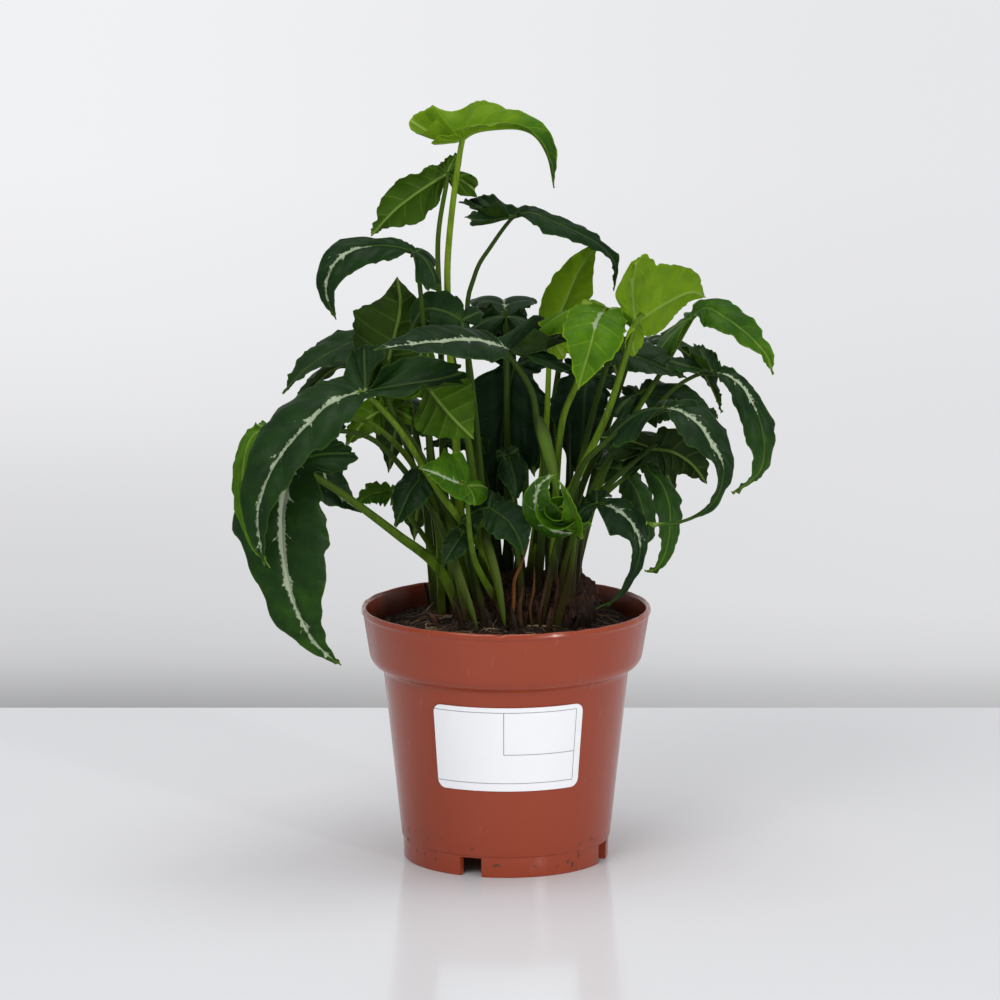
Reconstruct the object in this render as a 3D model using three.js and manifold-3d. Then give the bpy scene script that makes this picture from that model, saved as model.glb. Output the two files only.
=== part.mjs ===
// A potted arrowhead plant: dark three-lobed leaves with a silver midrib, in a 12 cm nursery pot.
// Millimetres, Z up. The origin is on the pot's axis, on the surface that the pot stands on.
// X is to the right of the plant's face, and Y points away from it.
import * as THREE from 'three';
import { mergeVertices } from 'three/addons/utils/BufferGeometryUtils.js';
import Module from 'manifold-3d';

const wasm = await Module();
wasm.setup();

// Driving dimensions of the pot
const RIM_RADIUS = 60;
const POT_HEIGHT = 105.5;
const COLLAR_HEIGHT = 22.5;
const COLLAR_FOOT_RADIUS = 56.3;
const SHOULDER_DROP = 3.5;
const BODY_TOP_RADIUS = 50.8;
const BODY_FOOT_RADIUS = 43.3;
const FOOT_RING_RADIUS = 42.5;
const FOOT_RING_HEIGHT = 9;
const WALL = 1.4;
const LIP_HEIGHT = 3;
const LIP_PROUD = 0.8;
const POT_SIDES = 36;
const NOTCH_WIDTH = 9.3;
const NOTCH_HEIGHT = 8;
const NOTCH_TURNS = [-110, -20, 70, 160];

// Driving dimensions of the label
const LABEL_WIDTH = 62.5;
const LABEL_HEIGHT = 35.5;
const LABEL_FOOT = 37.5;
const LABEL_CORNER = 3.6;
const LABEL_TURN = 1.2;
const LABEL_COLUMNS = [-0.5, -0.494, -0.476, -0.44, -0.3, -0.15, 0, 0.15, 0.3, 0.44, 0.476, 0.494, 0.5];
const LABEL_THICKNESS = 0.4;

// Driving dimensions of the soil and of what stands in it
const SOIL_EDGE_HEIGHT = 95.5;
const SOIL_MOUND = 6;
const SOIL_HUMP = { x: 25, y: 22, reach: 15, height: 11 };
const FOOT_HEIGHT = 91;
const GAP = 0.3;

// Driving dimensions that every leaf shares
const BLADE_THICKNESS = 0.7;
const RIB_KEEL = 1.1;
const NECK_DEPTH = 0.8;
const STALK_SIDES = 5;
const BLADE_COLUMNS = 2;

const TONES = {
  dark: { color: 0x1f3a24, roughness: 0.5 },
  green: { color: 0x42701f, roughness: 0.45 },
  lime: { color: 0x84b02a, roughness: 0.42 },
};

// The shortest edge and the lowest triangle that a joined body keeps
const SHORTEST_EDGE = 0.04;
const SHORTEST_HEIGHT = 0.01;

// Mesh and solid helpers

/** The geometry with its shared points merged and its flat triangles dropped. */
function welded(geometry) {
  const bare = new THREE.BufferGeometry();
  bare.setAttribute('position', geometry.getAttribute('position'));
  if (geometry.index) bare.setIndex(geometry.index);
  const merged = mergeVertices(bare, 1e-3);
  const kept = [];
  const index = merged.index.array;
  for (let i = 0; i < index.length; i += 3) {
    const [a, b, c] = [index[i], index[i + 1], index[i + 2]];
    if (a !== b && b !== c && c !== a) kept.push(a, b, c);
  }
  merged.setIndex(kept);
  return merged;
}

function solid(geometry) {
  const shape = welded(geometry);
  return new wasm.Manifold(new wasm.Mesh({
    numProp: 3,
    vertProperties: new Float32Array(shape.getAttribute('position').array),
    triVerts: new Uint32Array(shape.index.array),
  }));
}

/** Closes up the short edges that a join leaves, and drops the triangles that fall flat or cancel out. */
function closedUp(spots, faces) {
  const home = spots.map((_, i) => i);
  const root = (i) => (home[i] === i ? i : root(home[i]));
  for (const face of faces) {
    for (let k = 0; k < 3; k += 1) {
      const [a, b] = [root(face[k]), root(face[(k + 1) % 3])];
      if (a !== b && spots[a].distanceTo(spots[b]) < SHORTEST_EDGE) home[b] = a;
    }
  }
  const kept = new Map();
  for (const face of faces) {
    const corners = face.map(root);
    if (new Set(corners).size < 3) continue;
    const key = [...corners].sort().join();
    if (kept.has(key)) kept.delete(key);
    else kept.set(key, corners);
  }
  return [...kept.values()];
}

/** Turns the long edge of each splinter, a triangle with next to no height, to its neighbour's corner. */
function splintersTurned(spots, faces) {
  const list = [...faces];
  const owner = new Map();
  const note = (i) => list[i].forEach((corner, k) => owner.set(`${corner},${list[i][(k + 1) % 3]}`, i));
  list.forEach((_, i) => note(i));
  for (let i = 0; i < list.length; i += 1) {
    const lengths = list[i].map((corner, k) => spots[corner].distanceTo(spots[list[i][(k + 1) % 3]]));
    const longest = lengths.indexOf(Math.max(...lengths));
    const [a, b, c] = [0, 1, 2].map((k) => list[i][(longest + k) % 3]);
    const area = new THREE.Triangle(spots[a], spots[b], spots[c]).getArea();
    if ((2 * area) / lengths[longest] > SHORTEST_HEIGHT) continue;
    const j = owner.get(`${b},${a}`);
    const d = list[j].find((corner) => corner !== a && corner !== b);
    if (owner.has(`${c},${d}`) || owner.has(`${d},${c}`)) continue;
    owner.delete(`${a},${b}`);
    owner.delete(`${b},${a}`);
    list[i] = [a, d, c];
    list[j] = [d, b, c];
    note(i);
    note(j);
  }
  return list;
}

function geometryOf(body) {
  const mesh = body.getMesh();
  const spots = [];
  for (let i = 0; i < mesh.vertProperties.length; i += 3) {
    spots.push(new THREE.Vector3().fromArray(mesh.vertProperties, i));
  }
  const faces = [];
  for (let i = 0; i < mesh.triVerts.length; i += 3) faces.push(Array.from(mesh.triVerts.slice(i, i + 3)));
  const rough = new THREE.BufferGeometry().setFromPoints(spots);
  rough.setIndex(splintersTurned(spots, closedUp(spots, faces)).flat());
  const geometry = welded(rough);
  geometry.computeVertexNormals();
  return geometry;
}

/** A closed slab round an open sheet. below(i) is how far the underside lies from the sheet at point i. */
function slab(sheet, above, below) {
  sheet.computeVertexNormals();
  const position = sheet.getAttribute('position');
  const normal = sheet.getAttribute('normal');
  const count = position.count;
  const points = [];
  for (const side of [1, -1]) {
    for (let i = 0; i < count; i += 1) {
      const offset = side > 0 ? above : -below(i);
      points.push(
        position.getX(i) + normal.getX(i) * offset,
        position.getY(i) + normal.getY(i) * offset,
        position.getZ(i) + normal.getZ(i) * offset,
      );
    }
  }
  const index = Array.from(sheet.index.array);
  const faces = [...index];
  const edges = new Map();
  for (let i = 0; i < index.length; i += 3) {
    const [a, b, c] = [index[i], index[i + 1], index[i + 2]];
    faces.push(count + a, count + c, count + b);
    for (const [from, to] of [[a, b], [b, c], [c, a]]) edges.set(`${from},${to}`, [from, to]);
  }
  for (const [from, to] of edges.values()) {
    if (!edges.has(`${to},${from}`)) {
      faces.push(from, count + to, to, from, count + from, count + to);
    }
  }
  const geometry = new THREE.BufferGeometry();
  geometry.setAttribute('position', new THREE.Float32BufferAttribute(points, 3));
  geometry.setIndex(faces);
  return geometry;
}

function named(name, geometry, look) {
  const mesh = new THREE.Mesh(geometry, new THREE.MeshStandardMaterial({ metalness: 0, ...look }));
  mesh.name = name;
  return mesh;
}

// The pot: one moulded plastic shell with a deep collar, a raised floor and four drain notches

function bodyRadius(height) {
  const shoulder = POT_HEIGHT - COLLAR_HEIGHT - SHOULDER_DROP;
  const share = (height - FOOT_RING_HEIGHT) / (shoulder - FOOT_RING_HEIGHT);
  return BODY_FOOT_RADIUS + (BODY_TOP_RADIUS - BODY_FOOT_RADIUS) * share;
}

function makePot() {
  const collarFoot = POT_HEIGHT - COLLAR_HEIGHT;
  const shoulder = collarFoot - SHOULDER_DROP;
  const floor = FOOT_RING_HEIGHT + 1;
  const outline = [
    [0, floor - WALL],
    [FOOT_RING_RADIUS - 3, floor - WALL],
    [FOOT_RING_RADIUS - 3, 0],
    [FOOT_RING_RADIUS, 0],
    [FOOT_RING_RADIUS + 0.2, FOOT_RING_HEIGHT - 0.5],
    [BODY_FOOT_RADIUS, FOOT_RING_HEIGHT],
    [BODY_TOP_RADIUS, shoulder],
    [BODY_TOP_RADIUS + 3.8, collarFoot - 1.2],
    [COLLAR_FOOT_RADIUS, collarFoot + 1.4],
    [RIM_RADIUS - LIP_PROUD, POT_HEIGHT - LIP_HEIGHT],
    [RIM_RADIUS, POT_HEIGHT - LIP_HEIGHT + 0.9],
    [RIM_RADIUS - 0.3, POT_HEIGHT - 0.4],
    [RIM_RADIUS - 1.1, POT_HEIGHT],
    [RIM_RADIUS - LIP_PROUD - WALL, POT_HEIGHT - 0.7],
    [COLLAR_FOOT_RADIUS - WALL, collarFoot + 2],
    [BODY_TOP_RADIUS - WALL, shoulder],
    [BODY_FOOT_RADIUS - WALL, floor],
    [0, floor],
  ];
  const profile = outline.map(([radius, height]) => new THREE.Vector2(radius, height));
  const shell = new THREE.LatheGeometry(profile, POT_SIDES);
  shell.rotateX(Math.PI / 2);
  let body = solid(shell);
  for (const turn of NOTCH_TURNS) {
    const notch = new THREE.BoxGeometry(NOTCH_WIDTH, 14, NOTCH_HEIGHT + 2);
    notch.translate(0, -FOOT_RING_RADIUS, (NOTCH_HEIGHT + 2) / 2 - 2);
    notch.rotateZ(THREE.MathUtils.degToRad(turn));
    body = body.subtract(solid(notch));
  }
  return named('pot', geometryOf(body), { color: 0xa9533c, roughness: 0.4 });
}

// The label: a bare white sticker with round corners, on the front of the body

function makeLabel() {
  const sheet = new THREE.PlaneGeometry(1, 1, LABEL_COLUMNS.length - 1, 2);
  const position = sheet.getAttribute('position');
  const inset = (u) => {
    const past = Math.abs(u) * LABEL_WIDTH - (LABEL_WIDTH / 2 - LABEL_CORNER);
    return past > 0 ? LABEL_CORNER - Math.sqrt(Math.max(0, LABEL_CORNER ** 2 - past ** 2)) : 0;
  };
  for (let i = 0; i < position.count; i += 1) {
    const u = LABEL_COLUMNS[Math.round((position.getX(i) + 0.5) * (LABEL_COLUMNS.length - 1))];
    const share = position.getY(i);
    const height = LABEL_FOOT + LABEL_HEIGHT / 2 + share * (LABEL_HEIGHT - 2 * inset(u));
    const radius = bodyRadius(height) + GAP + 0.1 + LABEL_THICKNESS / 2;
    const angle = (u * LABEL_WIDTH) / bodyRadius(LABEL_FOOT + LABEL_HEIGHT / 2)
      + THREE.MathUtils.degToRad(LABEL_TURN);
    position.setXYZ(i, radius * Math.sin(angle), -radius * Math.cos(angle), height);
  }
  const body = solid(slab(welded(sheet), LABEL_THICKNESS / 2, () => LABEL_THICKNESS / 2));
  return named('label', geometryOf(body), { color: 0xf2f2ee, roughness: 0.5 });
}

// The soil: the filled pot's root ball, mounded round the stems, with a hump of roots at the back

function soilHeight(x, y) {
  const share = Math.min(1, Math.hypot(x, y) / (RIM_RADIUS - 4));
  const near = Math.hypot(x - SOIL_HUMP.x, y - SOIL_HUMP.y) / SOIL_HUMP.reach;
  const uneven = 0.9 * Math.sin(x * 0.21 + 1) * Math.cos(y * 0.17);
  return SOIL_EDGE_HEIGHT + SOIL_MOUND * (1 - share ** 2) + SOIL_HUMP.height * Math.exp(-near * near)
    + uneven * (1 - share ** 4);
}

function makeSoil(stalks) {
  const collarFoot = POT_HEIGHT - COLLAR_HEIGHT;
  const shoulder = collarFoot - SHOULDER_DROP;
  const floor = FOOT_RING_HEIGHT + 1;
  const play = WALL + GAP + 0.3;
  const top = SOIL_EDGE_HEIGHT;
  const reach = (top - collarFoot) / COLLAR_HEIGHT;
  const topRadius = COLLAR_FOOT_RADIUS + (RIM_RADIUS - LIP_PROUD - COLLAR_FOOT_RADIUS) * reach - play;
  const outline = [
    [0, floor + GAP],
    [BODY_FOOT_RADIUS - play, floor + GAP],
    [BODY_TOP_RADIUS - play, shoulder],
    [COLLAR_FOOT_RADIUS - play, collarFoot + 2.2],
    [topRadius, top - 0.5],
    [topRadius - 6, top + 0.6],
    [topRadius - 16, top + 2],
    [topRadius - 27, top + 3],
    [topRadius - 39, top + 4],
    [0, top + 5],
  ];
  const profile = outline.map(([radius, height]) => new THREE.Vector2(radius, height));
  const lump = new THREE.LatheGeometry(profile, 26);
  lump.rotateX(Math.PI / 2);
  const position = lump.getAttribute('position');
  for (let i = 0; i < position.count; i += 1) {
    const [x, y, z] = [position.getX(i), position.getY(i), position.getZ(i)];
    if (z > top) position.setZ(i, soilHeight(x, y));
  }
  let body = solid(lump);
  for (const stalk of stalks) body = body.subtract(solid(stalk));
  return named('soil', geometryOf(body), { color: 0x2a1d16, roughness: 0.95 });
}

// Leaves: a stalk that stands in the soil and a three-lobed blade bent along its midrib, grown as one

/** Where a uniform Catmull-Rom curve through the points is at t, from 0 to their number less one. */
function along(points, t) {
  const last = points.length - 1;
  const i = Math.min(Math.floor(t), last - 1);
  const f = t - i;
  const at = (k) => points[Math.max(0, Math.min(last, k))];
  return points[0].map((_, axis) => {
    const [p0, p1, p2, p3] = [at(i - 1)[axis], at(i)[axis], at(i + 1)[axis], at(i + 2)[axis]];
    const [v0, v1] = [(p2 - p0) / 2, (p3 - p1) / 2];
    return (2 * p1 - 2 * p2 + v0 + v1) * f ** 3 + (3 * p2 - 3 * p1 - 2 * v0 - v1) * f ** 2 + v0 * f + p1;
  });
}

/** Evenly spaced stations of a curve, each with its place, its tangent and an upper-side normal. */
function stations(points, face, twist, count) {
  const fine = 240;
  const spots = [];
  for (let i = 0; i <= fine; i += 1) {
    spots.push(new THREE.Vector3(...along(points, (i / fine) * (points.length - 1))));
  }
  const run = [0];
  for (let i = 1; i <= fine; i += 1) run.push(run[i - 1] + spots[i].distanceTo(spots[i - 1]));
  const length = run[fine];
  const list = [];
  const up = new THREE.Vector3(...face).normalize();
  let k = 0;
  for (let i = 0; i <= count; i += 1) {
    const goal = (i / count) * length;
    while (k < fine - 1 && run[k + 1] < goal) k += 1;
    const f = (goal - run[k]) / (run[k + 1] - run[k]);
    const at = spots[k].clone().lerp(spots[k + 1], f);
    const ahead = spots[Math.min(fine, k + 2)].clone().sub(spots[Math.max(0, k - 1)]).normalize();
    up.addScaledVector(ahead, -up.dot(ahead)).normalize();
    const turned = up.clone().applyAxisAngle(ahead, THREE.MathUtils.degToRad((twist * i) / count));
    list.push({ at, ahead, up: turned, side: new THREE.Vector3().crossVectors(turned, ahead) });
  }
  return { list, length };
}

/** The place and frame at a share of the way along, between two stations. */
function between(list, share) {
  const t = Math.max(0, Math.min(1, share)) * (list.length - 1);
  const i = Math.min(Math.floor(t), list.length - 2);
  const f = t - i;
  const mix = (key) => list[i][key].clone().lerp(list[i + 1][key], f);
  return { at: mix('at'), ahead: mix('ahead'), up: mix('up'), side: mix('side') };
}

/** Half a blade's outline, round its lobe and on to the tip: [along the rib, out from it, vein's start]. */
function halfOutline(length, half, lobe, spread, waist, slim) {
  const turn = THREE.MathUtils.degToRad(spread);
  const [cos, sin] = [Math.cos(turn), Math.sin(turn)];
  const wide = 2.5 + lobe * 0.2;
  const spot = (far, across) => [
    lobe * far * cos + wide * across * sin,
    lobe * far * sin - wide * across * cos,
    0,
  ];
  return [
    spot(0.16, -0.3),
    spot(0.5, -1),
    spot(0.86, -0.62),
    spot(1, 0),
    spot(0.86, 0.62),
    spot(0.5, 0.95),
    [0.04 * length, waist * half, 0.01 * length],
    [0.14 * length, Math.max(0.84, waist) * half, 0.04 * length],
    [0.29 * length, half, 0.15 * length],
    [0.46 * length, 0.94 * slim * half, 0.31 * length],
    [0.64 * length, 0.7 * slim * half, 0.51 * length],
    [0.81 * length, 0.38 * slim * half, 0.72 * length],
    [0.93 * length, 0.13 * slim * half, 0.89 * length],
    [length, 0, length],
  ];
}

const LOBE_POINTS = 5;

/** A blade's plan point bent into place: along the rib, and out to a side by its fold, curl and waves. */
function bladePoint(blade, sideSign, t, out) {
  const { rib, plans, look } = blade;
  const hand = sideSign > 0 ? 0 : 1;
  const plan = plans[hand];
  const [edgeX, edgeY, start] = along(plan, t);
  const x = start + (edgeX - start) * out;
  const y = edgeY * out;
  const fold = THREE.MathUtils.degToRad(look.fold);
  const curl = THREE.MathUtils.degToRad(look.curl) / look.half[hand];
  const bent = Math.min(y, look.half[hand]);
  const slope = fold - curl * bent;
  const across = (Math.sin(fold) - Math.sin(slope)) / curl + (y - bent) * Math.cos(slope);
  const rise = (Math.cos(slope) - Math.cos(fold)) / curl + (y - bent) * Math.sin(slope);
  const lobeShare = Math.max(0, Math.min(1, LOBE_POINTS + 1 - t));
  const droop = look.droop[hand] * look.lobe[hand] * (lobeShare * out) ** 2;
  const edgeShare = Math.max(0, t - LOBE_POINTS) / (plan.length - 1 - LOBE_POINTS);
  const wave = look.wave * out ** 2 * Math.sin(Math.PI * 2 * look.waves * edgeShare + look.phase * sideSign)
    * Math.sin(Math.PI * Math.min(1, edgeShare * 1.6 + 0.1));
  const frame = between(rib.list, x / rib.length);
  const behind = Math.min(0, x);
  return frame.at.clone()
    .addScaledVector(frame.ahead, behind)
    .addScaledVector(frame.side, across * sideSign)
    .addScaledVector(frame.up, rise - droop + wave);
}

function makeBlade(blade) {
  const { rows } = blade.look;
  const sheet = new THREE.PlaneGeometry(1, 1, 2 * BLADE_COLUMNS, rows.length - 1);
  const position = sheet.getAttribute('position');
  const starts = [];
  for (let i = 0; i < position.count; i += 1) {
    const u = position.getX(i) * 2;
    const row = Math.round((0.5 - position.getY(i)) * (rows.length - 1));
    const t = rows[row];
    const spot = bladePoint(blade, u > 0 ? 1 : -1, t, Math.abs(u));
    position.setXYZ(i, spot.x, spot.y, spot.z);
    if (u === 0) starts.push([spot, along(blade.plans[0], t)[2] / blade.rib.length]);
  }
  const open = welded(sheet);
  const place = open.getAttribute('position');
  const below = (i) => {
    const spot = new THREE.Vector3().fromBufferAttribute(place, i);
    const onRib = starts.find(([rib]) => rib.distanceTo(spot) < 0.01);
    return BLADE_THICKNESS / 2 + (onRib ? RIB_KEEL * (1 - onRib[1]) : 0);
  };
  return slab(open, BLADE_THICKNESS / 2, below);
}

/** A round tapered tube along stations, with more girth where it sheathes the crown. */
function makeTube(line, steps, radiusAt) {
  const tube = new THREE.CylinderGeometry(1, 1, 1, STALK_SIDES, steps);
  const position = tube.getAttribute('position');
  for (let i = 0; i < position.count; i += 1) {
    const share = position.getY(i) + 0.5;
    const frame = between(line.list, share);
    const radius = radiusAt(share);
    const spot = frame.at.clone()
      .addScaledVector(frame.side, position.getX(i) * radius)
      .addScaledVector(frame.up, -position.getZ(i) * radius);
    position.setXYZ(i, spot.x, spot.y, spot.z);
  }
  return tube;
}

const FINE_ROWS = [0, 1, 2, 3, 4, 5, 6, 7, 8, 9, 10, 11, 12, 13];
const PLAIN_ROWS = [0, 1.4, 3, 4.6, 6, 7, 8, 9, 10.2, 11.5, 13];
const SPARE_ROWS = [0, 1.6, 3, 4.5, 6, 7.5, 9.3, 11.2, 13];

// What a leaf has unless its own entry says otherwise: angles in degrees, lengths in mm
const DEFAULTS = {
  fold: 18, curl: 38, droop: 0.3, twist: 0, wave: 1.6, waves: 2, phase: 0, spread: 125,
  lobe: 24, half: 13, waist: 0.42, slim: 1, girth: 2.1, rows: FINE_ROWS,
};

// What may differ between a blade's two sides, as [one side, the other side]
const SIDED = ['lobe', 'half', 'spread', 'droop', 'waist', 'slim'];

/** The stalk from its foot in the soil to the neck, where its top lies inside the blade's keel. */
function stalkLine(leaf, start) {
  const neck = start.at.clone().addScaledVector(start.up, -NECK_DEPTH).toArray();
  const [x, y] = leaf.foot;
  const middle = leaf.stalk ?? [[
    x + (neck[0] - x) * 0.42,
    y + (neck[1] - y) * 0.42,
    FOOT_HEIGHT + (neck[2] - FOOT_HEIGHT) * 0.56,
  ]];
  const lean = 0.12;
  const first = middle[0];
  const emerging = [x + (first[0] - x) * lean, y + (first[1] - y) * lean, FOOT_HEIGHT + 14];
  return stations([[x, y, FOOT_HEIGHT], emerging, ...middle, neck], [0, -1, 0.1], 0, 40);
}

function makeLeaf(name, tone, leaf) {
  const look = { ...DEFAULTS, ...leaf };
  for (const key of SIDED) look[key] = [look[key]].flat().length > 1 ? look[key] : [look[key], look[key]];
  const rib = stations(leaf.rib, leaf.face, look.twist, 48);
  const plans = [0, 1].map((hand) => halfOutline(
    rib.length,
    look.half[hand],
    look.lobe[hand],
    look.spread[hand],
    look.waist[hand],
    look.slim[hand],
  ));
  const blade = solid(makeBlade({ rib, plans, look }));
  const line = stalkLine(leaf, rib.list[0]);
  const steps = Math.max(4, Math.round(line.length / 27));
  const tip = 0.45 + look.half[0] * 0.05;
  const tube = makeTube(line, steps, (share) => look.girth + (tip - look.girth) * share ** 0.7);
  const [body] = blade.add(solid(tube)).decompose().sort((a, b) => b.volume() - a.volume());
  const hole = makeTube(line, steps, (share) => (look.girth + (tip - look.girth) * share ** 0.7) + GAP);
  return { mesh: named(name, geometryOf(body), TONES[tone]), hole };
}

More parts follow.
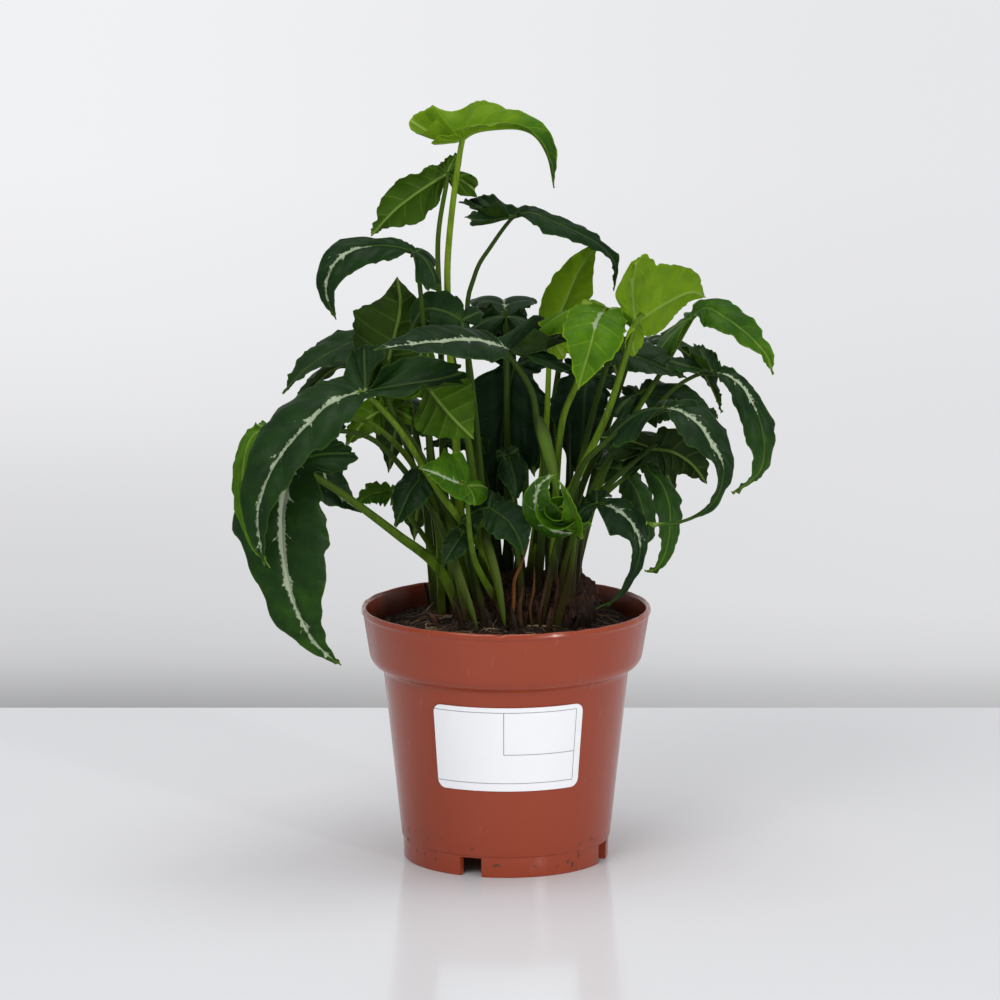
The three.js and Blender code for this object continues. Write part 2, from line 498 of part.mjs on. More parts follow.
const LEAVES = {
  crown: ['lime', {
    foot: [-16, 8],
    stalk: [[-21, 7, 178], [-24, 6, 232], [-23, 4, 261]],
    rib: [[-18.4, 2, 298.9], [-13.1, -2, 302.6], [-4.5, -5, 304.3], [5.6, -9, 304.6], [12.5, -11, 301.2],
      [17.3, -13, 292.8], [19.4, -13, 280.6]],
    face: [0.05, -0.35, 0.94], fold: 38, half: [14, 10.5], lobe: [22, 11], spread: [160, 150],
    droop: [-0.58, -0.25], waist: [1.3, 0.5], slim: [0.6, 0.8], wave: 0.8, curl: 22,
  }],
  upper_left: ['green', {
    foot: [-22, 16],
    stalk: [[-26, 16, 160], [-27, 15, 219], [-28, 14, 256]],
    rib: [[-24.2, 13, 284], [-31.2, 12, 279.6], [-39.4, 10, 274.1], [-47.2, 8, 267.7], [-55.3, 6, 258.5]],
    face: [-0.3, 0.85, 0.45], half: [9, 10], lobe: [9, 13], spread: [140, 118], droop: [0.1, 0.45],
    rows: PLAIN_ROWS, slim: 1.4, waist: 0.5,
  }],
  left_arch: ['dark', {
    foot: [-25, 4],
    stalk: [[-31, 4, 160], [-33, -2, 209], [-35, -8, 238]],
    rib: [[-37.1, -10, 254.1], [-48, -13, 256.9], [-60.4, -19, 256.5], [-69.2, -23, 251.3],
      [-72.9, -24, 240.9], [-69, -22, 227.9]],
    face: [-0.1, -0.45, 0.9], half: [8.5, 7], lobe: 16, spread: 135, droop: 0.45, twist: -12,
    rows: PLAIN_ROWS, slim: 1.3,
  }],
  right_arch: ['dark', {
    foot: [-9, 13],
    stalk: [[-16, 12, 215], [-13, 12, 241], [-6, 10, 254]],
    rib: [[2.4, 8, 266.5], [10.6, 6, 268], [19.6, 5, 264.4], [29.4, 4, 260], [38, 4, 255],
      [44.6, 4, 247.2], [44.3, 5, 235.9]],
    face: [0, -0.4, 0.9], half: 6.8, lobe: [22, 18], spread: 155, droop: [-0.35, -0.35], fold: 14,
  }],
  left_upright: ['dark', {
    foot: [-18, -3],
    stalk: [[-31, -4, 160], [-47, -5, 188]],
    rib: [[-49.2, -4, 204.5], [-46, 0, 217.2], [-43.5, 5, 229.3], [-44.8, 9, 241.1]],
    face: [-0.1, 0.95, 0.1], half: [13, 17], lobe: 12, spread: 100, wave: 0.8, rows: PLAIN_ROWS,
    slim: 1.2,
  }],
  shade_left: ['dark', {
    foot: [-5, 5],
    stalk: [[-13, 0, 190]],
    rib: [[-18, -3, 225], [-26, -3, 229], [-34, -2, 229], [-39, -1, 221]],
    face: [-0.1, -0.9, 0.4], fold: 4, half: [8, 9], lobe: 10, rows: PLAIN_ROWS,
  }],
  centre_stripe: ['dark', {
    foot: [12, -6],
    stalk: [[16, -12, 163], [13, -16, 182], [10, -18, 199]],
    rib: [[0, -24, 216], [-13, -34, 221], [-27, -44, 222], [-41, -52, 222], [-53, -57, 221]],
    face: [0, -0.4, 0.9], half: 15, lobe: [28, 38], spread: [150, 165], droop: [-0.1, -0.35],
  }],
  front_left: ['dark', {
    foot: [-2, -7],
    stalk: [[-7, -12, 127], [-27, -24, 157], [-43, -31, 184]],
    rib: [[-57, -36, 201], [-70.8, -49, 197.8], [-83.7, -60, 186.7], [-91.9, -66, 176.8],
      [-97.5, -69, 164.3], [-99.1, -71, 153.8], [-96.8, -70, 135.7]],
    face: [-0.2, -0.55, 0.8], half: [14, 17], lobe: [42, 28], spread: [150, 130], droop: [-0.22, -0.3],
    waist: 0.6,
  }],
  left_hanging: ['dark', {
    foot: [-18, -8],
    stalk: [[-28.3, -15, 124.9], [-44.1, -24, 139.5], [-63.4, -34, 156.3], [-76.1, -39, 165.9]],
    rib: [[-85.3, -42, 173], [-89.5, -50, 158.8], [-89.9, -54, 140.7], [-85.9, -55, 118.8],
      [-77.7, -51, 101], [-67, -46, 90]],
    face: [-0.25, -0.93, 0.28], half: [18, 20], lobe: [24, 30], spread: [118, 112], waist: [0.6, 1.1],
    slim: [1, 0.75], girth: 2.6,
  }],
  left_edge_green: ['green', {
    foot: [-26, -1],
    stalk: [[-30, -9, 150], [-52, -9, 181], [-78, -30, 190]],
    rib: [[-97.6, -44, 187.2], [-103, -50, 183.3], [-105.7, -54, 171.8], [-105.3, -57, 156.8],
      [-101.2, -60, 143.1], [-94.8, -62, 133.3]],
    face: [-0.5, -0.8, 0.3], half: 5, lobe: 6, spread: 100,
  }],
  back_left_crinkled: ['dark', {
    foot: [-29, 13],
    stalk: [[-35, 17, 160], [-44, 18, 202]],
    rib: [[-49.9, 14, 217.1], [-66.3, 8, 213], [-81.3, 0, 205.1], [-91.4, -6, 194.9]],
    face: [-0.1, -0.3, 0.95], half: [13, 12], lobe: 16, wave: 2.4, waves: 3, rows: PLAIN_ROWS,
  }],
  left_inner: ['dark', {
    foot: [-15, -13],
    stalk: [[-27, -14, 142], [-52, -16, 176]],
    rib: [[-74, -20, 182], [-75, -24, 171], [-72, -24, 160], [-59, -20, 148]],
    face: [0.5, -0.85, 0.1], half: 10, lobe: 14, rows: PLAIN_ROWS,
  }],
  inner_bright: ['green', {
    foot: [-13, 2],
    stalk: [[-28, 8, 150]],
    rib: [[-48, 6, 188], [-58, 2, 183], [-66, -2, 172]],
    face: [0.2, 0.8, 0.5], half: 9, lobe: 12, rows: PLAIN_ROWS,
  }],
  centre_green: ['green', {
    foot: [-8, 0],
    stalk: [[-11, -5, 140], [-18, -10, 185]],
    rib: [[-32.7, -16, 200.6], [-27.7, -21, 194.9], [-20.8, -25, 187.3], [-13.1, -28, 180]],
    face: [-0.3, 0.8, 0.5], half: [15, 15], lobe: [16, 14], curl: 24, rows: PLAIN_ROWS, slim: 1.1,
  }],
  front_fold: ['green', {
    foot: [1, -16],
    stalk: [[-13, -30, 131]],
    rib: [[-15.9, -38, 162.4], [-21.9, -43, 165.3], [-28.3, -46, 168.7], [-35.2, -45, 171]],
    face: [-0.1, -0.75, 0.65], half: [8, 17], lobe: [8, 18], spread: [120, 160], rows: PLAIN_ROWS,
    waist: [0.5, 0.9],
  }],
  unrolling: ['green', {
    foot: [22, -9],
    stalk: [[23, -20, 123]],
    rib: [[27.2, -32, 142.3], [20.6, -37, 144.1], [14.5, -42, 150], [12, -45, 157.9], [14, -44, 164.3],
      [20.1, -40, 167.7]],
    face: [-0.3, -0.7, -0.6], half: [7.6, 10.5], lobe: 8, wave: 0.6, rows: PLAIN_ROWS,
  }],
  unrolling_heart: ['green', {
    foot: [21, -20],
    stalk: [[26, -28, 124]],
    rib: [[27.8, -44, 145.4], [27.2, -56.5, 155.1], [24.7, -60, 163.1], [20.8, -58, 168.4]],
    face: [-0.3, -0.85, 0.1], fold: 40, half: 5.5, lobe: 5, spread: 110, wave: 0.5,
  }],
  lime_upright: ['lime', {
    foot: [8, 18],
    stalk: [[16, 18, 168]],
    rib: [[18, 20, 216], [24, 20, 229], [30, 17, 243], [38, 12, 256]],
    face: [-0.3, 0.85, 0.4], half: 11, lobe: [12, 14], wave: 0.6, rows: PLAIN_ROWS,
  }],
  young_stripe: ['lime', {
    foot: [18, 1],
    stalk: [[22, -5, 176], [29, -9, 200]],
    rib: [[41, -12, 231], [37, -22, 228], [34, -30, 218], [29, -33, 201]],
    face: [-0.1, -0.8, 0.6], half: 13, lobe: [14, 28], spread: [110, 65], droop: 0.3,
  }],
  lime_round: ['lime', {
    foot: [18, -7],
    stalk: [[22, -14, 144], [41, -22, 189]],
    rib: [[52.1, -26, 228.1], [57.5, -22, 230.8], [65.8, -14, 234.5], [75.1, -5, 236.9],
      [81.6, 5, 233.4]],
    face: [-0.5, 0.75, 0.4], half: [14, 21.5], lobe: [15, 31], spread: [105, 86], droop: [0.2, 0],
    waist: [0.5, 1.4], slim: [1, 0.8], curl: 30, wave: 0.5, girth: 2.6,
  }],
  right_arch_green: ['green', {
    foot: [24, 12],
    stalk: [[41, 13, 160], [66, 18.5, 203]],
    rib: [[75.8, 14, 223], [82.2, 10, 228.1], [90.7, 4, 224.4], [99.1, 0, 218.4], [106.4, -4, 210.7],
      [109.2, -6, 202.8]],
    face: [0, -0.4, 0.9], half: [8.5, 7.5], lobe: [24, 26], spread: [162, 160], rows: PLAIN_ROWS,
    droop: 0.1,
  }],
  right_ribbon: ['dark', {
    foot: [27, 3],
    stalk: [[36, 1, 155], [64, -5, 192], [77, -10, 203]],
    rib: [[84.4, -12, 205], [91.1, -18, 203.9], [96.3, -21, 199.8], [99.9, -23, 194], [103.2, -24, 186.3],
      [104.9, -24, 176], [102.7, -22, 164.9], [92.3, -19, 156]],
    face: [0, -0.35, 0.93], half: [5.8, 7], lobe: [16, 20], twist: 10, droop: [-0.4, -0.2],
    spread: [150, 160], slim: 1.3,
  }],
  front_right: ['dark', {
    foot: [13, -15],
    stalk: [[27, -24, 158], [38, -30, 177]],
    rib: [[63.4, -36, 194.1], [70.4, -43, 193.6], [77.1, -49, 189.7], [82.2, -53, 182.6],
      [87.1, -53, 172.9], [84.9, -50, 160.5], [77.8, -46, 152.3], [67.9, -43, 148.1], [56.6, -42, 147.9]],
    face: [0, -0.45, 0.9], half: [10, 9.5], lobe: [20, 26], spread: [120, 140], slim: 0.5,
  }],
  right_behind: ['dark', {
    foot: [19, 15],
    stalk: [[33, 26, 154]],
    rib: [[54.9, 26, 189.7], [68.2, 26, 187.6], [79.3, 24, 183.7], [88, 22, 180.2]],
    face: [0, -0.4, 0.9], half: [14, 15], lobe: [9, 16], rows: PLAIN_ROWS,
  }],
  right_shade: ['dark', {
    foot: [21.5, 6.5],
    stalk: [[30, 8, 160]],
    rib: [[43.6, 8, 211], [55.1, 5, 208.1], [65.3, 2, 204], [74.3, 0, 200.6]],
    face: [0, -0.5, 0.85], half: [12, 9], lobe: 8,
  }],
  right_under: ['dark', {
    foot: [22.5, -3],
    stalk: [[32, -9, 145]],
    rib: [[59, -14, 174], [68, -17, 173], [76, -19, 168], [82, -20, 160]],
    face: [-0.2, 0.9, 0.3], half: 12, lobe: [14, 20], rows: PLAIN_ROWS, spread: [150, 165],
  }],
  low_right: ['dark', {
    foot: [26, -13],
    stalk: [[29, -17, 136]],
    rib: [[37, -26, 153.2], [45, -32, 151.4], [52.3, -36, 144.7], [54.3, -37, 135], [50.3, -36, 123.2],
      [43.9, -34, 114.5], [36.7, -31, 110.1]],
    face: [0, -0.7, 0.7], half: [7, 9], lobe: 13, rows: PLAIN_ROWS, slim: 0.45,
  }],
  right_hanging: ['dark', {
    foot: [27.5, -2],
    stalk: [[33, -3, 142]],
    rib: [[55, -5, 165], [63, -9, 159], [67, -12, 148], [66, -13, 133], [62, -13, 124], [57, -12, 122]],
    face: [0.4, -0.6, 0.6], half: 7, lobe: 9, rows: PLAIN_ROWS,
  }],
  right_low_back: ['dark', {
    foot: [28, 16],
    stalk: [[31, 18, 142]],
    rib: [[48, 19, 159], [55, 17, 148], [58, 14, 133], [54, 12, 123]],
    face: [0.5, -0.6, 0.5], half: 8, lobe: 11, rows: PLAIN_ROWS,
  }],
  left_low_dark: ['dark', {
    foot: [-10, -9],
    stalk: [[-19, -13, 137]],
    rib: [[-33, -18, 164], [-38, -23, 159], [-42, -26, 151], [-45, -26, 143]],
    face: [-0.3, -0.8, 0.4], half: 8, lobe: 7, spread: 105, rows: PLAIN_ROWS,
  }],
  left_low_green: ['green', {
    foot: [-20, 1],
    stalk: [[-30, 0, 128]],
    rib: [[-47, -8, 154], [-55, -10, 154], [-62, -11, 149]],
    face: [0, -0.5, 0.8], half: 7, lobe: 8, rows: PLAIN_ROWS,
  }],
  centre_low_dark: ['dark', {
    foot: [7, -14],
    stalk: [[4, -22, 133]],
    rib: [[-7, -28, 151.5], [0.3, -34, 147.6], [4.8, -37, 141.2], [7.2, -38, 133.5]],
    face: [0.2, -0.8, 0.5], half: 9, lobe: 12, rows: PLAIN_ROWS,
  }],
  centre_shade: ['dark', {
    foot: [-3, 19],
    stalk: [[-6, 20, 140]],
    rib: [[-11.6, 22, 170.1], [-19.1, 21, 171.1], [-27.4, 21, 169.9], [-34.1, 20, 167.5]],
    face: [0, -0.6, 0.8], half: 5, lobe: 6,
  }],
  centre_shadow: ['dark', {
    foot: [8, 4],
    stalk: [[5, 6, 138]],
    rib: [[0.8, 6, 167.4], [2.9, 3, 161.3], [4.1, 1, 154.9], [2.9, 1, 148.6]],
    face: [0, -0.9, 0.3], half: 6, lobe: 5, spread: 105,
  }],
  small_low_dark: ['dark', {
    foot: [-9, -18],
    stalk: [[-13, -22, 125]],
    rib: [[-17, -24, 141], [-21, -30, 136], [-26, -33, 128]],
    face: [-0.2, -0.8, 0.5], half: 6, lobe: 5, spread: 100, rows: PLAIN_ROWS,
  }],
  back_high: ['dark', {
    foot: [1, 22.6],
    rib: [[0, 26, 222], [-1, 42, 226.8], [-2.1, 60, 219.9], [-2.9, 74, 199.9]],
    face: [0, 0.3, 0.95], half: 14, lobe: [20, 16], spread: 110, rows: SPARE_ROWS,
  }],
  back_high_left: ['dark', {
    foot: [-8, 27],
    rib: [[-24, 38, 214], [-35, 47, 216], [-44, 58, 207], [-50, 68, 190]],
    face: [0, 0.3, 0.95], half: 13, lobe: 16, rows: SPARE_ROWS,
  }],
  back_high_right: ['dark', {
    foot: [11, 26],
    rib: [[24, 42, 212], [33, 52, 215], [42, 63, 205], [48, 73, 188]],
    face: [0, 0.3, 0.95], half: 13, lobe: 16, rows: SPARE_ROWS,
  }],
  back_middle: ['dark', {
    foot: [1, 30],
    rib: [[4, 31, 201], [1, 29, 190], [-2, 28.5, 170], [-4, 29, 150], [-4, 30, 138]],
    face: [0, -0.95, 0.3], fold: 6, curl: 12, half: [18, 16], lobe: [17, 19], wave: 2.4, rows: PLAIN_ROWS,
    slim: 1.15,
  }],
  back_middle_left: ['dark', {
    foot: [-16, 28],
    rib: [[-28, 40, 178], [-38, 54, 182], [-46, 66, 170], [-50, 74, 148]],
    face: [0, 0.4, 0.9], half: 13, lobe: 20, rows: SPARE_ROWS,
  }],
  back_middle_right: ['dark', {
    foot: [19.5, 26],
    rib: [[35, 33, 197], [33, 29, 190], [32, 27, 174], [30, 28, 154]],
    face: [0, -0.95, 0.3], fold: 6, curl: 12, half: [10.5, 14], lobe: [12, 12], spread: 105, wave: 2.4,
    rows: PLAIN_ROWS,
  }],
  back_right_side: ['dark', {
    foot: [26, 21],
    stalk: [[37, 28, 156]],
    rib: [[52, 36, 206], [66, 43.5, 210], [81, 48, 199], [91, 50, 178]],
    face: [0.2, 0.2, 0.95], half: 13, lobe: 14, rows: SPARE_ROWS,
  }],
  back_left_side: ['dark', {
    foot: [-24, 24],
    rib: [[-52, 26, 198], [-66, 32, 202], [-80, 36, 192], [-88, 38, 170]],
    face: [-0.2, 0.2, 0.95], half: 12, lobe: 18, rows: SPARE_ROWS,
  }],
  back_centre: ['dark', {
    foot: [3, 37],
    stalk: [[8, 45, 135]],
    rib: [[8, 53, 170], [10, 61, 174], [11, 70, 164], [12, 76, 146]],
    face: [0, 0.4, 0.9], half: 14, lobe: 18, rows: SPARE_ROWS,
  }],
  back_right_low: ['dark', {
    foot: [25.5, 28],
    rib: [[42, 44, 162], [53, 52, 167], [64, 60, 158], [72, 66, 140]],
    face: [0.2, 0.4, 0.9], half: 13, lobe: 15, rows: SPARE_ROWS,
  }],
  back_low: ['dark', {
    foot: [-6, 33],
    rib: [[-8, 48, 144], [-10, 59, 147], [-12, 69, 139], [-12, 75, 122]],
    face: [0, 0.4, 0.9], half: 11, lobe: 12, rows: SPARE_ROWS,
  }],
  back_low_left: ['dark', {
    foot: [-22, 32],
    rib: [[-24, 42, 138], [-31, 51, 142], [-37, 60, 136], [-39, 66, 120]],
    face: [-0.1, 0.4, 0.9], half: 10, lobe: 13, rows: SPARE_ROWS,
  }],
  back_low_right: ['dark', {
    foot: [18, 32],
    rib: [[17, 42, 140], [22, 52, 144], [27, 60, 138], [30, 66, 120]],
    face: [0.1, 0.4, 0.9], half: 9, lobe: 9, rows: SPARE_ROWS,
  }],
};

// The whole plant in its pot

const plant = new THREE.Group();
plant.name = 'potted_arrowhead_plant';
plant.add(makePot());
plant.add(makeLabel());
const holes = [];
for (const [name, [tone, leaf]] of Object.entries(LEAVES)) {
  const { mesh, hole } = makeLeaf(`leaf_${name}`, tone, leaf);
  plant.add(mesh);
  holes.push(hole);
}
plant.add(makeSoil(holes));

export default plant;
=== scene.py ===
"""A potted arrowhead plant: silver-striped, velvety leaves over a terracotta-coloured nursery pot.

Pieces are shaped in millimetres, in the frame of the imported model, and turned into metres when finished.
"""

import math
import random

import bmesh
import bpy
from mathutils import Matrix, Quaternion, Vector, noise


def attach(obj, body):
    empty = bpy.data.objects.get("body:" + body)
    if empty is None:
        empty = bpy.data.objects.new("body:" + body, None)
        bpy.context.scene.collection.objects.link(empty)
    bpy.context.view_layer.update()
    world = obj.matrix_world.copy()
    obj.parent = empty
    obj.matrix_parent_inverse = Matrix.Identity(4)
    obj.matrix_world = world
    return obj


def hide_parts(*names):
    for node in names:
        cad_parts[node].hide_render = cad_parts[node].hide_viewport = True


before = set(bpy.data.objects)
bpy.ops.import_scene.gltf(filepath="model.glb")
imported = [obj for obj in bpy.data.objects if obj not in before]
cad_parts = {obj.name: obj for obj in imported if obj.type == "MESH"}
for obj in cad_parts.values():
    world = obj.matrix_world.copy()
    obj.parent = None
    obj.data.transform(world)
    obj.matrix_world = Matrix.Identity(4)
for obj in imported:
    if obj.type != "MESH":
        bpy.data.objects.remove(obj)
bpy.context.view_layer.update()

# Camera: a long lens two metres in front of the plant and half a metre above the table, tipped a little down.
# It stands where the rim's ellipse, the pot's foot and the table's far edge look as in the photograph.
CAMERA_PLACE = (-0.0025, -2.165, 0.547)
CAMERA_TIP = 10.4  # degrees below level
CAMERA_LENS = 192.2
CAMERA_FILM = 36
CAMERA_REACH = 50

camera_data = bpy.data.cameras.new("camera")
camera_data.lens = CAMERA_LENS
camera_data.sensor_width = CAMERA_FILM
camera_data.clip_end = CAMERA_REACH
camera = bpy.data.objects.new("camera", camera_data)
camera.location = CAMERA_PLACE
camera.rotation_euler = (math.radians(90 - CAMERA_TIP), 0, 0)
bpy.context.scene.collection.objects.link(camera)
bpy.context.scene.camera = camera
bpy.context.scene.view_settings.view_transform = "Standard"


# Table: a pale lacquered board that the pot stands on, with its far edge some 20 cm behind the pot.
# Its finish is smooth enough to mirror the pot faintly.
TABLE_FAR_EDGE = 0.278
TABLE_NEAR_EDGE = -3.2
TABLE_SIDE = 2.4
TABLE_THICKNESS = 0.03
TABLE_ROUNDING = 0.0015
LACQUER_DEEP = (0.73, 0.735, 0.755)
LACQUER_PALE = (0.76, 0.765, 0.785)


class Finish:
    """A node tree being written. node() adds any node, and its socket comes back as a Signal."""

    def __init__(self, owner):
        owner.use_nodes = True
        self.tree = owner.node_tree
        self.tree.nodes.clear()

    def node(self, kind, settings=None, sockets=None, output=0):
        made = self.tree.nodes.new(kind)
        for key, value in (settings or {}).items():
            if key == "stops":
                self.set_stops(made.color_ramp, value)
            else:
                setattr(made, key, value)
        for key, value in (sockets or {}).items():
            if isinstance(value, Signal):
                self.tree.links.new(value.socket, made.inputs[key])
            else:
                made.inputs[key].default_value = value
        return Signal(self, made.outputs[output]) if made.outputs else made

    def set_stops(self, ramp, stops):
        while len(ramp.elements) < len(stops):
            ramp.elements.new(1)
        for element, (place, colour) in zip(ramp.elements, stops):
            element.position = place
            element.color = (*colour, 1)

    def attribute(self, name):
        return self.node("ShaderNodeAttribute", {"attribute_name": name}, output="Fac")

    def place(self):
        return self.node("ShaderNodeTexCoord", output="Object")

    def split(self, vector, axes):
        """The vector's parts along the axes, such as "XZ", one signal each."""
        return [self.node("ShaderNodeSeparateXYZ", sockets={"Vector": vector}, output=axis) for axis in axes]

    def clouds(self, size, detail=3, stretch=(1, 1, 1)):
        """Soft patches of about the given size in metres, from 0 to 1."""
        spot = self.node("ShaderNodeMapping", sockets={"Vector": self.place(), "Scale": stretch})
        return self.node("ShaderNodeTexNoise", sockets={"Vector": spot, "Scale": 1 / size, "Detail": detail})

    def ramp(self, share, stops):
        return self.node("ShaderNodeValToRGB", {"stops": stops}, {"Fac": share})

    def mix(self, share, first, second):
        """The first colour where share is 0, and the second where it is 1."""
        first, second = (c if isinstance(c, Signal) else (*c, 1) for c in (first, second))
        return self.node("ShaderNodeMix", {"data_type": "RGBA"}, {0: share, 6: first, 7: second}, output=2)

    def coat(self, colour, roughness, shine=0.5, relief=None, depth=0):
        """A solid skin of a colour, with a relief from 0 to 1 that stands out by depth in metres."""
        sockets = {"Base Color": colour, "Roughness": roughness, "Specular IOR Level": shine}
        if relief:
            sockets["Normal"] = self.node(
                "ShaderNodeBump", sockets={"Height": relief, "Distance": depth, "Strength": 1})
        return self.node("ShaderNodeBsdfPrincipled", sockets=sockets)

    def surface(self, shader):
        self.node("ShaderNodeOutputMaterial", sockets={"Surface": shader})


class Signal:
    """A socket that arithmetic can be written on."""

    def __init__(self, finish, socket):
        self.finish = finish
        self.socket = socket

    def maths(self, operation, *values):
        return self.finish.node("ShaderNodeMath", {"operation": operation}, dict(enumerate(values)))

    def __add__(self, other):
        return self.maths("ADD", self, other)

    def __radd__(self, other):
        return self.maths("ADD", other, self)

    def __sub__(self, other):
        return self.maths("SUBTRACT", self, other)

    def __rsub__(self, other):
        return self.maths("SUBTRACT", other, self)

    def __mul__(self, other):
        return self.maths("MULTIPLY", self, other)

    def __rmul__(self, other):
        return self.maths("MULTIPLY", other, self)

    def most(self, other):
        return self.maths("MAXIMUM", self, other)

    def size(self):
        return self.maths("ABSOLUTE", self)

    def eased(self, start, end):
        """0 before start and 1 past end, with a soft step between them. start may be the greater."""
        sockets = {"Value": self, "From Min": start, "From Max": end}
        return self.finish.node("ShaderNodeMapRange", {"interpolation_type": "SMOOTHSTEP"}, sockets)


def new_finish(name):
    material = bpy.data.materials.new(name)
    return material, Finish(material)


table_lacquer, finish = new_finish("table_lacquer")
haze = finish.clouds(0.4, 2)
finish.surface(finish.coat(finish.mix(haze, LACQUER_DEEP, LACQUER_PALE), 0.1 + 0.05 * haze, 0.12))

bm = bmesh.new()
bmesh.ops.create_cube(bm, size=1)
bmesh.ops.scale(bm, vec=(2 * TABLE_SIDE, TABLE_FAR_EDGE - TABLE_NEAR_EDGE, TABLE_THICKNESS), verts=bm.verts)
middle = ((TABLE_FAR_EDGE + TABLE_NEAR_EDGE) / 2, -TABLE_THICKNESS / 2)
bmesh.ops.translate(bm, vec=(0, *middle), verts=bm.verts)
bmesh.ops.bevel(
    bm, geom=bm.edges[:], affect="EDGES", offset=TABLE_ROUNDING, segments=3, profile=0.5, material=-1)
mesh = bpy.data.meshes.new("table")
bm.to_mesh(mesh)
bm.free()
mesh.materials.append(table_lacquer)
table = bpy.data.objects.new("table", mesh)
bpy.context.scene.collection.objects.link(table)


# Studio: a pale wall behind, with a soft shade where it meets the table, and dimmer walls on the other sides.
# Soft boxes stand in for windows. The slim one at the right draws the pot's upright highlight.
WALL_FOOT, WALL_HEAD = -0.32, -0.12  # the upward parts of the directions between which the wall is shaded
WALL_LEFT = [  # share of the way from the foot to the head, brightness
    (0, 0.60), (0.3, 0.50), (0.50, 0.33), (0.53, 0.474), (0.55, 0.57), (0.57, 0.624), (0.605, 0.665),
    (0.70, 0.716), (0.79, 0.807), (0.885, 0.85), (1, 0.88),
]
WALL_RIGHT = [
    (0, 0.60), (0.3, 0.55), (0.50, 0.48), (0.53, 0.577), (0.55, 0.665), (0.57, 0.70), (0.605, 0.74),
    (0.70, 0.755), (0.79, 0.76), (0.885, 0.78), (1, 0.80),
]
WALL_TINT = Vector((1, 1.004, 1.02))
SIDE_WALLS = (0.54, 0.542, 0.55)
CEILING = (0.33, 0.333, 0.34)
SOFT_BOXES = [  # name, place, what it points at, width and height in metres, watts
    ("window_front", (-0.8, -1.5, 1.6), (0, 0, 0.15), (1.1, 0.9), 17),
    ("window_above", (0.2, 0.1, 2.0), (0, 0, 0.15), (1.2, 1.2), 16),
    ("slim_right", (0.95, -1.25, 0.26), (0, 0, 0.08), (0.07, 0.45), 8),
]

world = bpy.data.worlds.new("studio")
bpy.context.scene.world = world
finish = Finish(world)
sideways, backward, upward = finish.split(finish.node("ShaderNodeTexCoord", output="Generated"), "XYZ")
climb = (upward - WALL_FOOT) * (1 / (WALL_HEAD - WALL_FOOT))
left_wall, right_wall = (
    finish.ramp(climb, [(share, tone * WALL_TINT) for share, tone in stops])
    for stops in (WALL_LEFT, WALL_RIGHT))
wall = finish.mix(sideways.eased(-0.09, 0.09), left_wall, right_wall)
wall = finish.mix(backward.eased(0.75, 0.2), wall, SIDE_WALLS)
wall = finish.mix(upward.eased(0.1, 0.7), wall, CEILING)
finish.node("ShaderNodeOutputWorld", sockets={
    "Surface": finish.node("ShaderNodeBackground", sockets={"Color": wall, "Strength": 1.0}),
})

for name, place, aim, (width, height), watts in SOFT_BOXES:
    light = bpy.data.lights.new(name, "AREA")
    light.shape = "RECTANGLE"
    light.size, light.size_y = width, height
    light.energy = watts
    box = bpy.data.objects.new(name, light)
    box.location = place
    box.rotation_euler = (Vector(aim) - Vector(place)).to_track_quat("-Z", "Y").to_euler()
    bpy.context.scene.collection.objects.link(box)


# Pot: one moulded shell of thin terracotta-coloured plastic with a deep collar and a rolled lip.
# Its floor is raised on a foot ring with four drain notches. The lip has a small nick at the front.
MM = 0.001
BODY_FOOT = (43.3, 9)  # radius, height
BODY_HEAD = (50.8, 79.5)
NOTCH_HEIGHT = 8
NOTCH_HALF_ANGLE = 6.25
NOTCH_ANGLES = [-110, -20, 70, 160]
POT_SPOKES = 288
POT_OUTLINE = [  # radius, height, how far the corner is rounded
    (0, 8.6, 0), (39.5, 8.6, 0.3), (39.5, NOTCH_HEIGHT, 0), (39.5, 0, 0.5), (42.5, 0, 0.5),
    (42.69, NOTCH_HEIGHT, 0), (42.7, 8.5, 0.2), (*BODY_FOOT, 0.4), (*BODY_HEAD, 1.5), (54.6, 81.8, 1.2),
    (56.3, 84.4, 1.6), (59.2, 102.5, 0.4), (60, 103.4, 0.5), (59.7, 105.1, 0.5), (58.9, 105.5, 0.4),
    (57.8, 104.8, 0.6), (54.9, 85, 2), (49.4, 79.5, 2), (41.9, 10, 1.5), (0, 10, 0),
]
LIP_FOOT = 102
LIP_WAVES = 9  # waves of noise to a radian of the way round
LIP_RISES, LIP_SWELLS = 0.22, 0.1  # how far they go up and down, and in and out
NICK_ANGLE = -93
NICK_HALF_ANGLE = 1.6
NICK_INSIDE = 58.4  # the radius past which the lip is cut
NICK_DEPTH, NICK_DENT = 0.9, 0.3
TERRACOTTA_DEEP = (0.285, 0.042, 0.014)
TERRACOTTA = (0.32, 0.050, 0.018)
TERRACOTTA_RUBBED = (0.50, 0.20, 0.13)
FOOT_DIRT = (0.06, 0.022, 0.012)
# Painted shade inside the pot: the dark colour the inner wall is mixed towards, the radii of that wall, and
# the heights between which the shade fades in and out.
INNER_WALL_PAINTED_SHADE = (0.05, 0.018, 0.010)
INNER_WALL = (0.0432, 0.0426)  # metres from the axis
INNER_WALL_LEAN = 0.15  # and how much more for each metre of height
PAINTED_SHADE_FOOT = (0.0845, 0.0875)
PAINTED_SHADE_HEAD = (0.1055, 0.098)


def rounded(corners, arc_steps=3):
    """The outline's points, with each corner cut back by its third number and rounded."""
    points = []
    for i, (radius, height, cut) in enumerate(corners):
        here = Vector((radius, 0, height))
        if cut == 0:
            points.append(here)
            continue
        before, after = (Vector((r, 0, z)) for r, z, _ in (corners[i - 1], corners[i + 1]))
        start = here + (before - here).normalized() * min(cut, (before - here).length / 2.1)
        end = here + (after - here).normalized() * min(cut, (after - here).length / 2.1)
        for k in range(arc_steps + 1):
            f = k / arc_steps
            points.append(start.lerp(here, f).lerp(here.lerp(end, f), f))
    return points


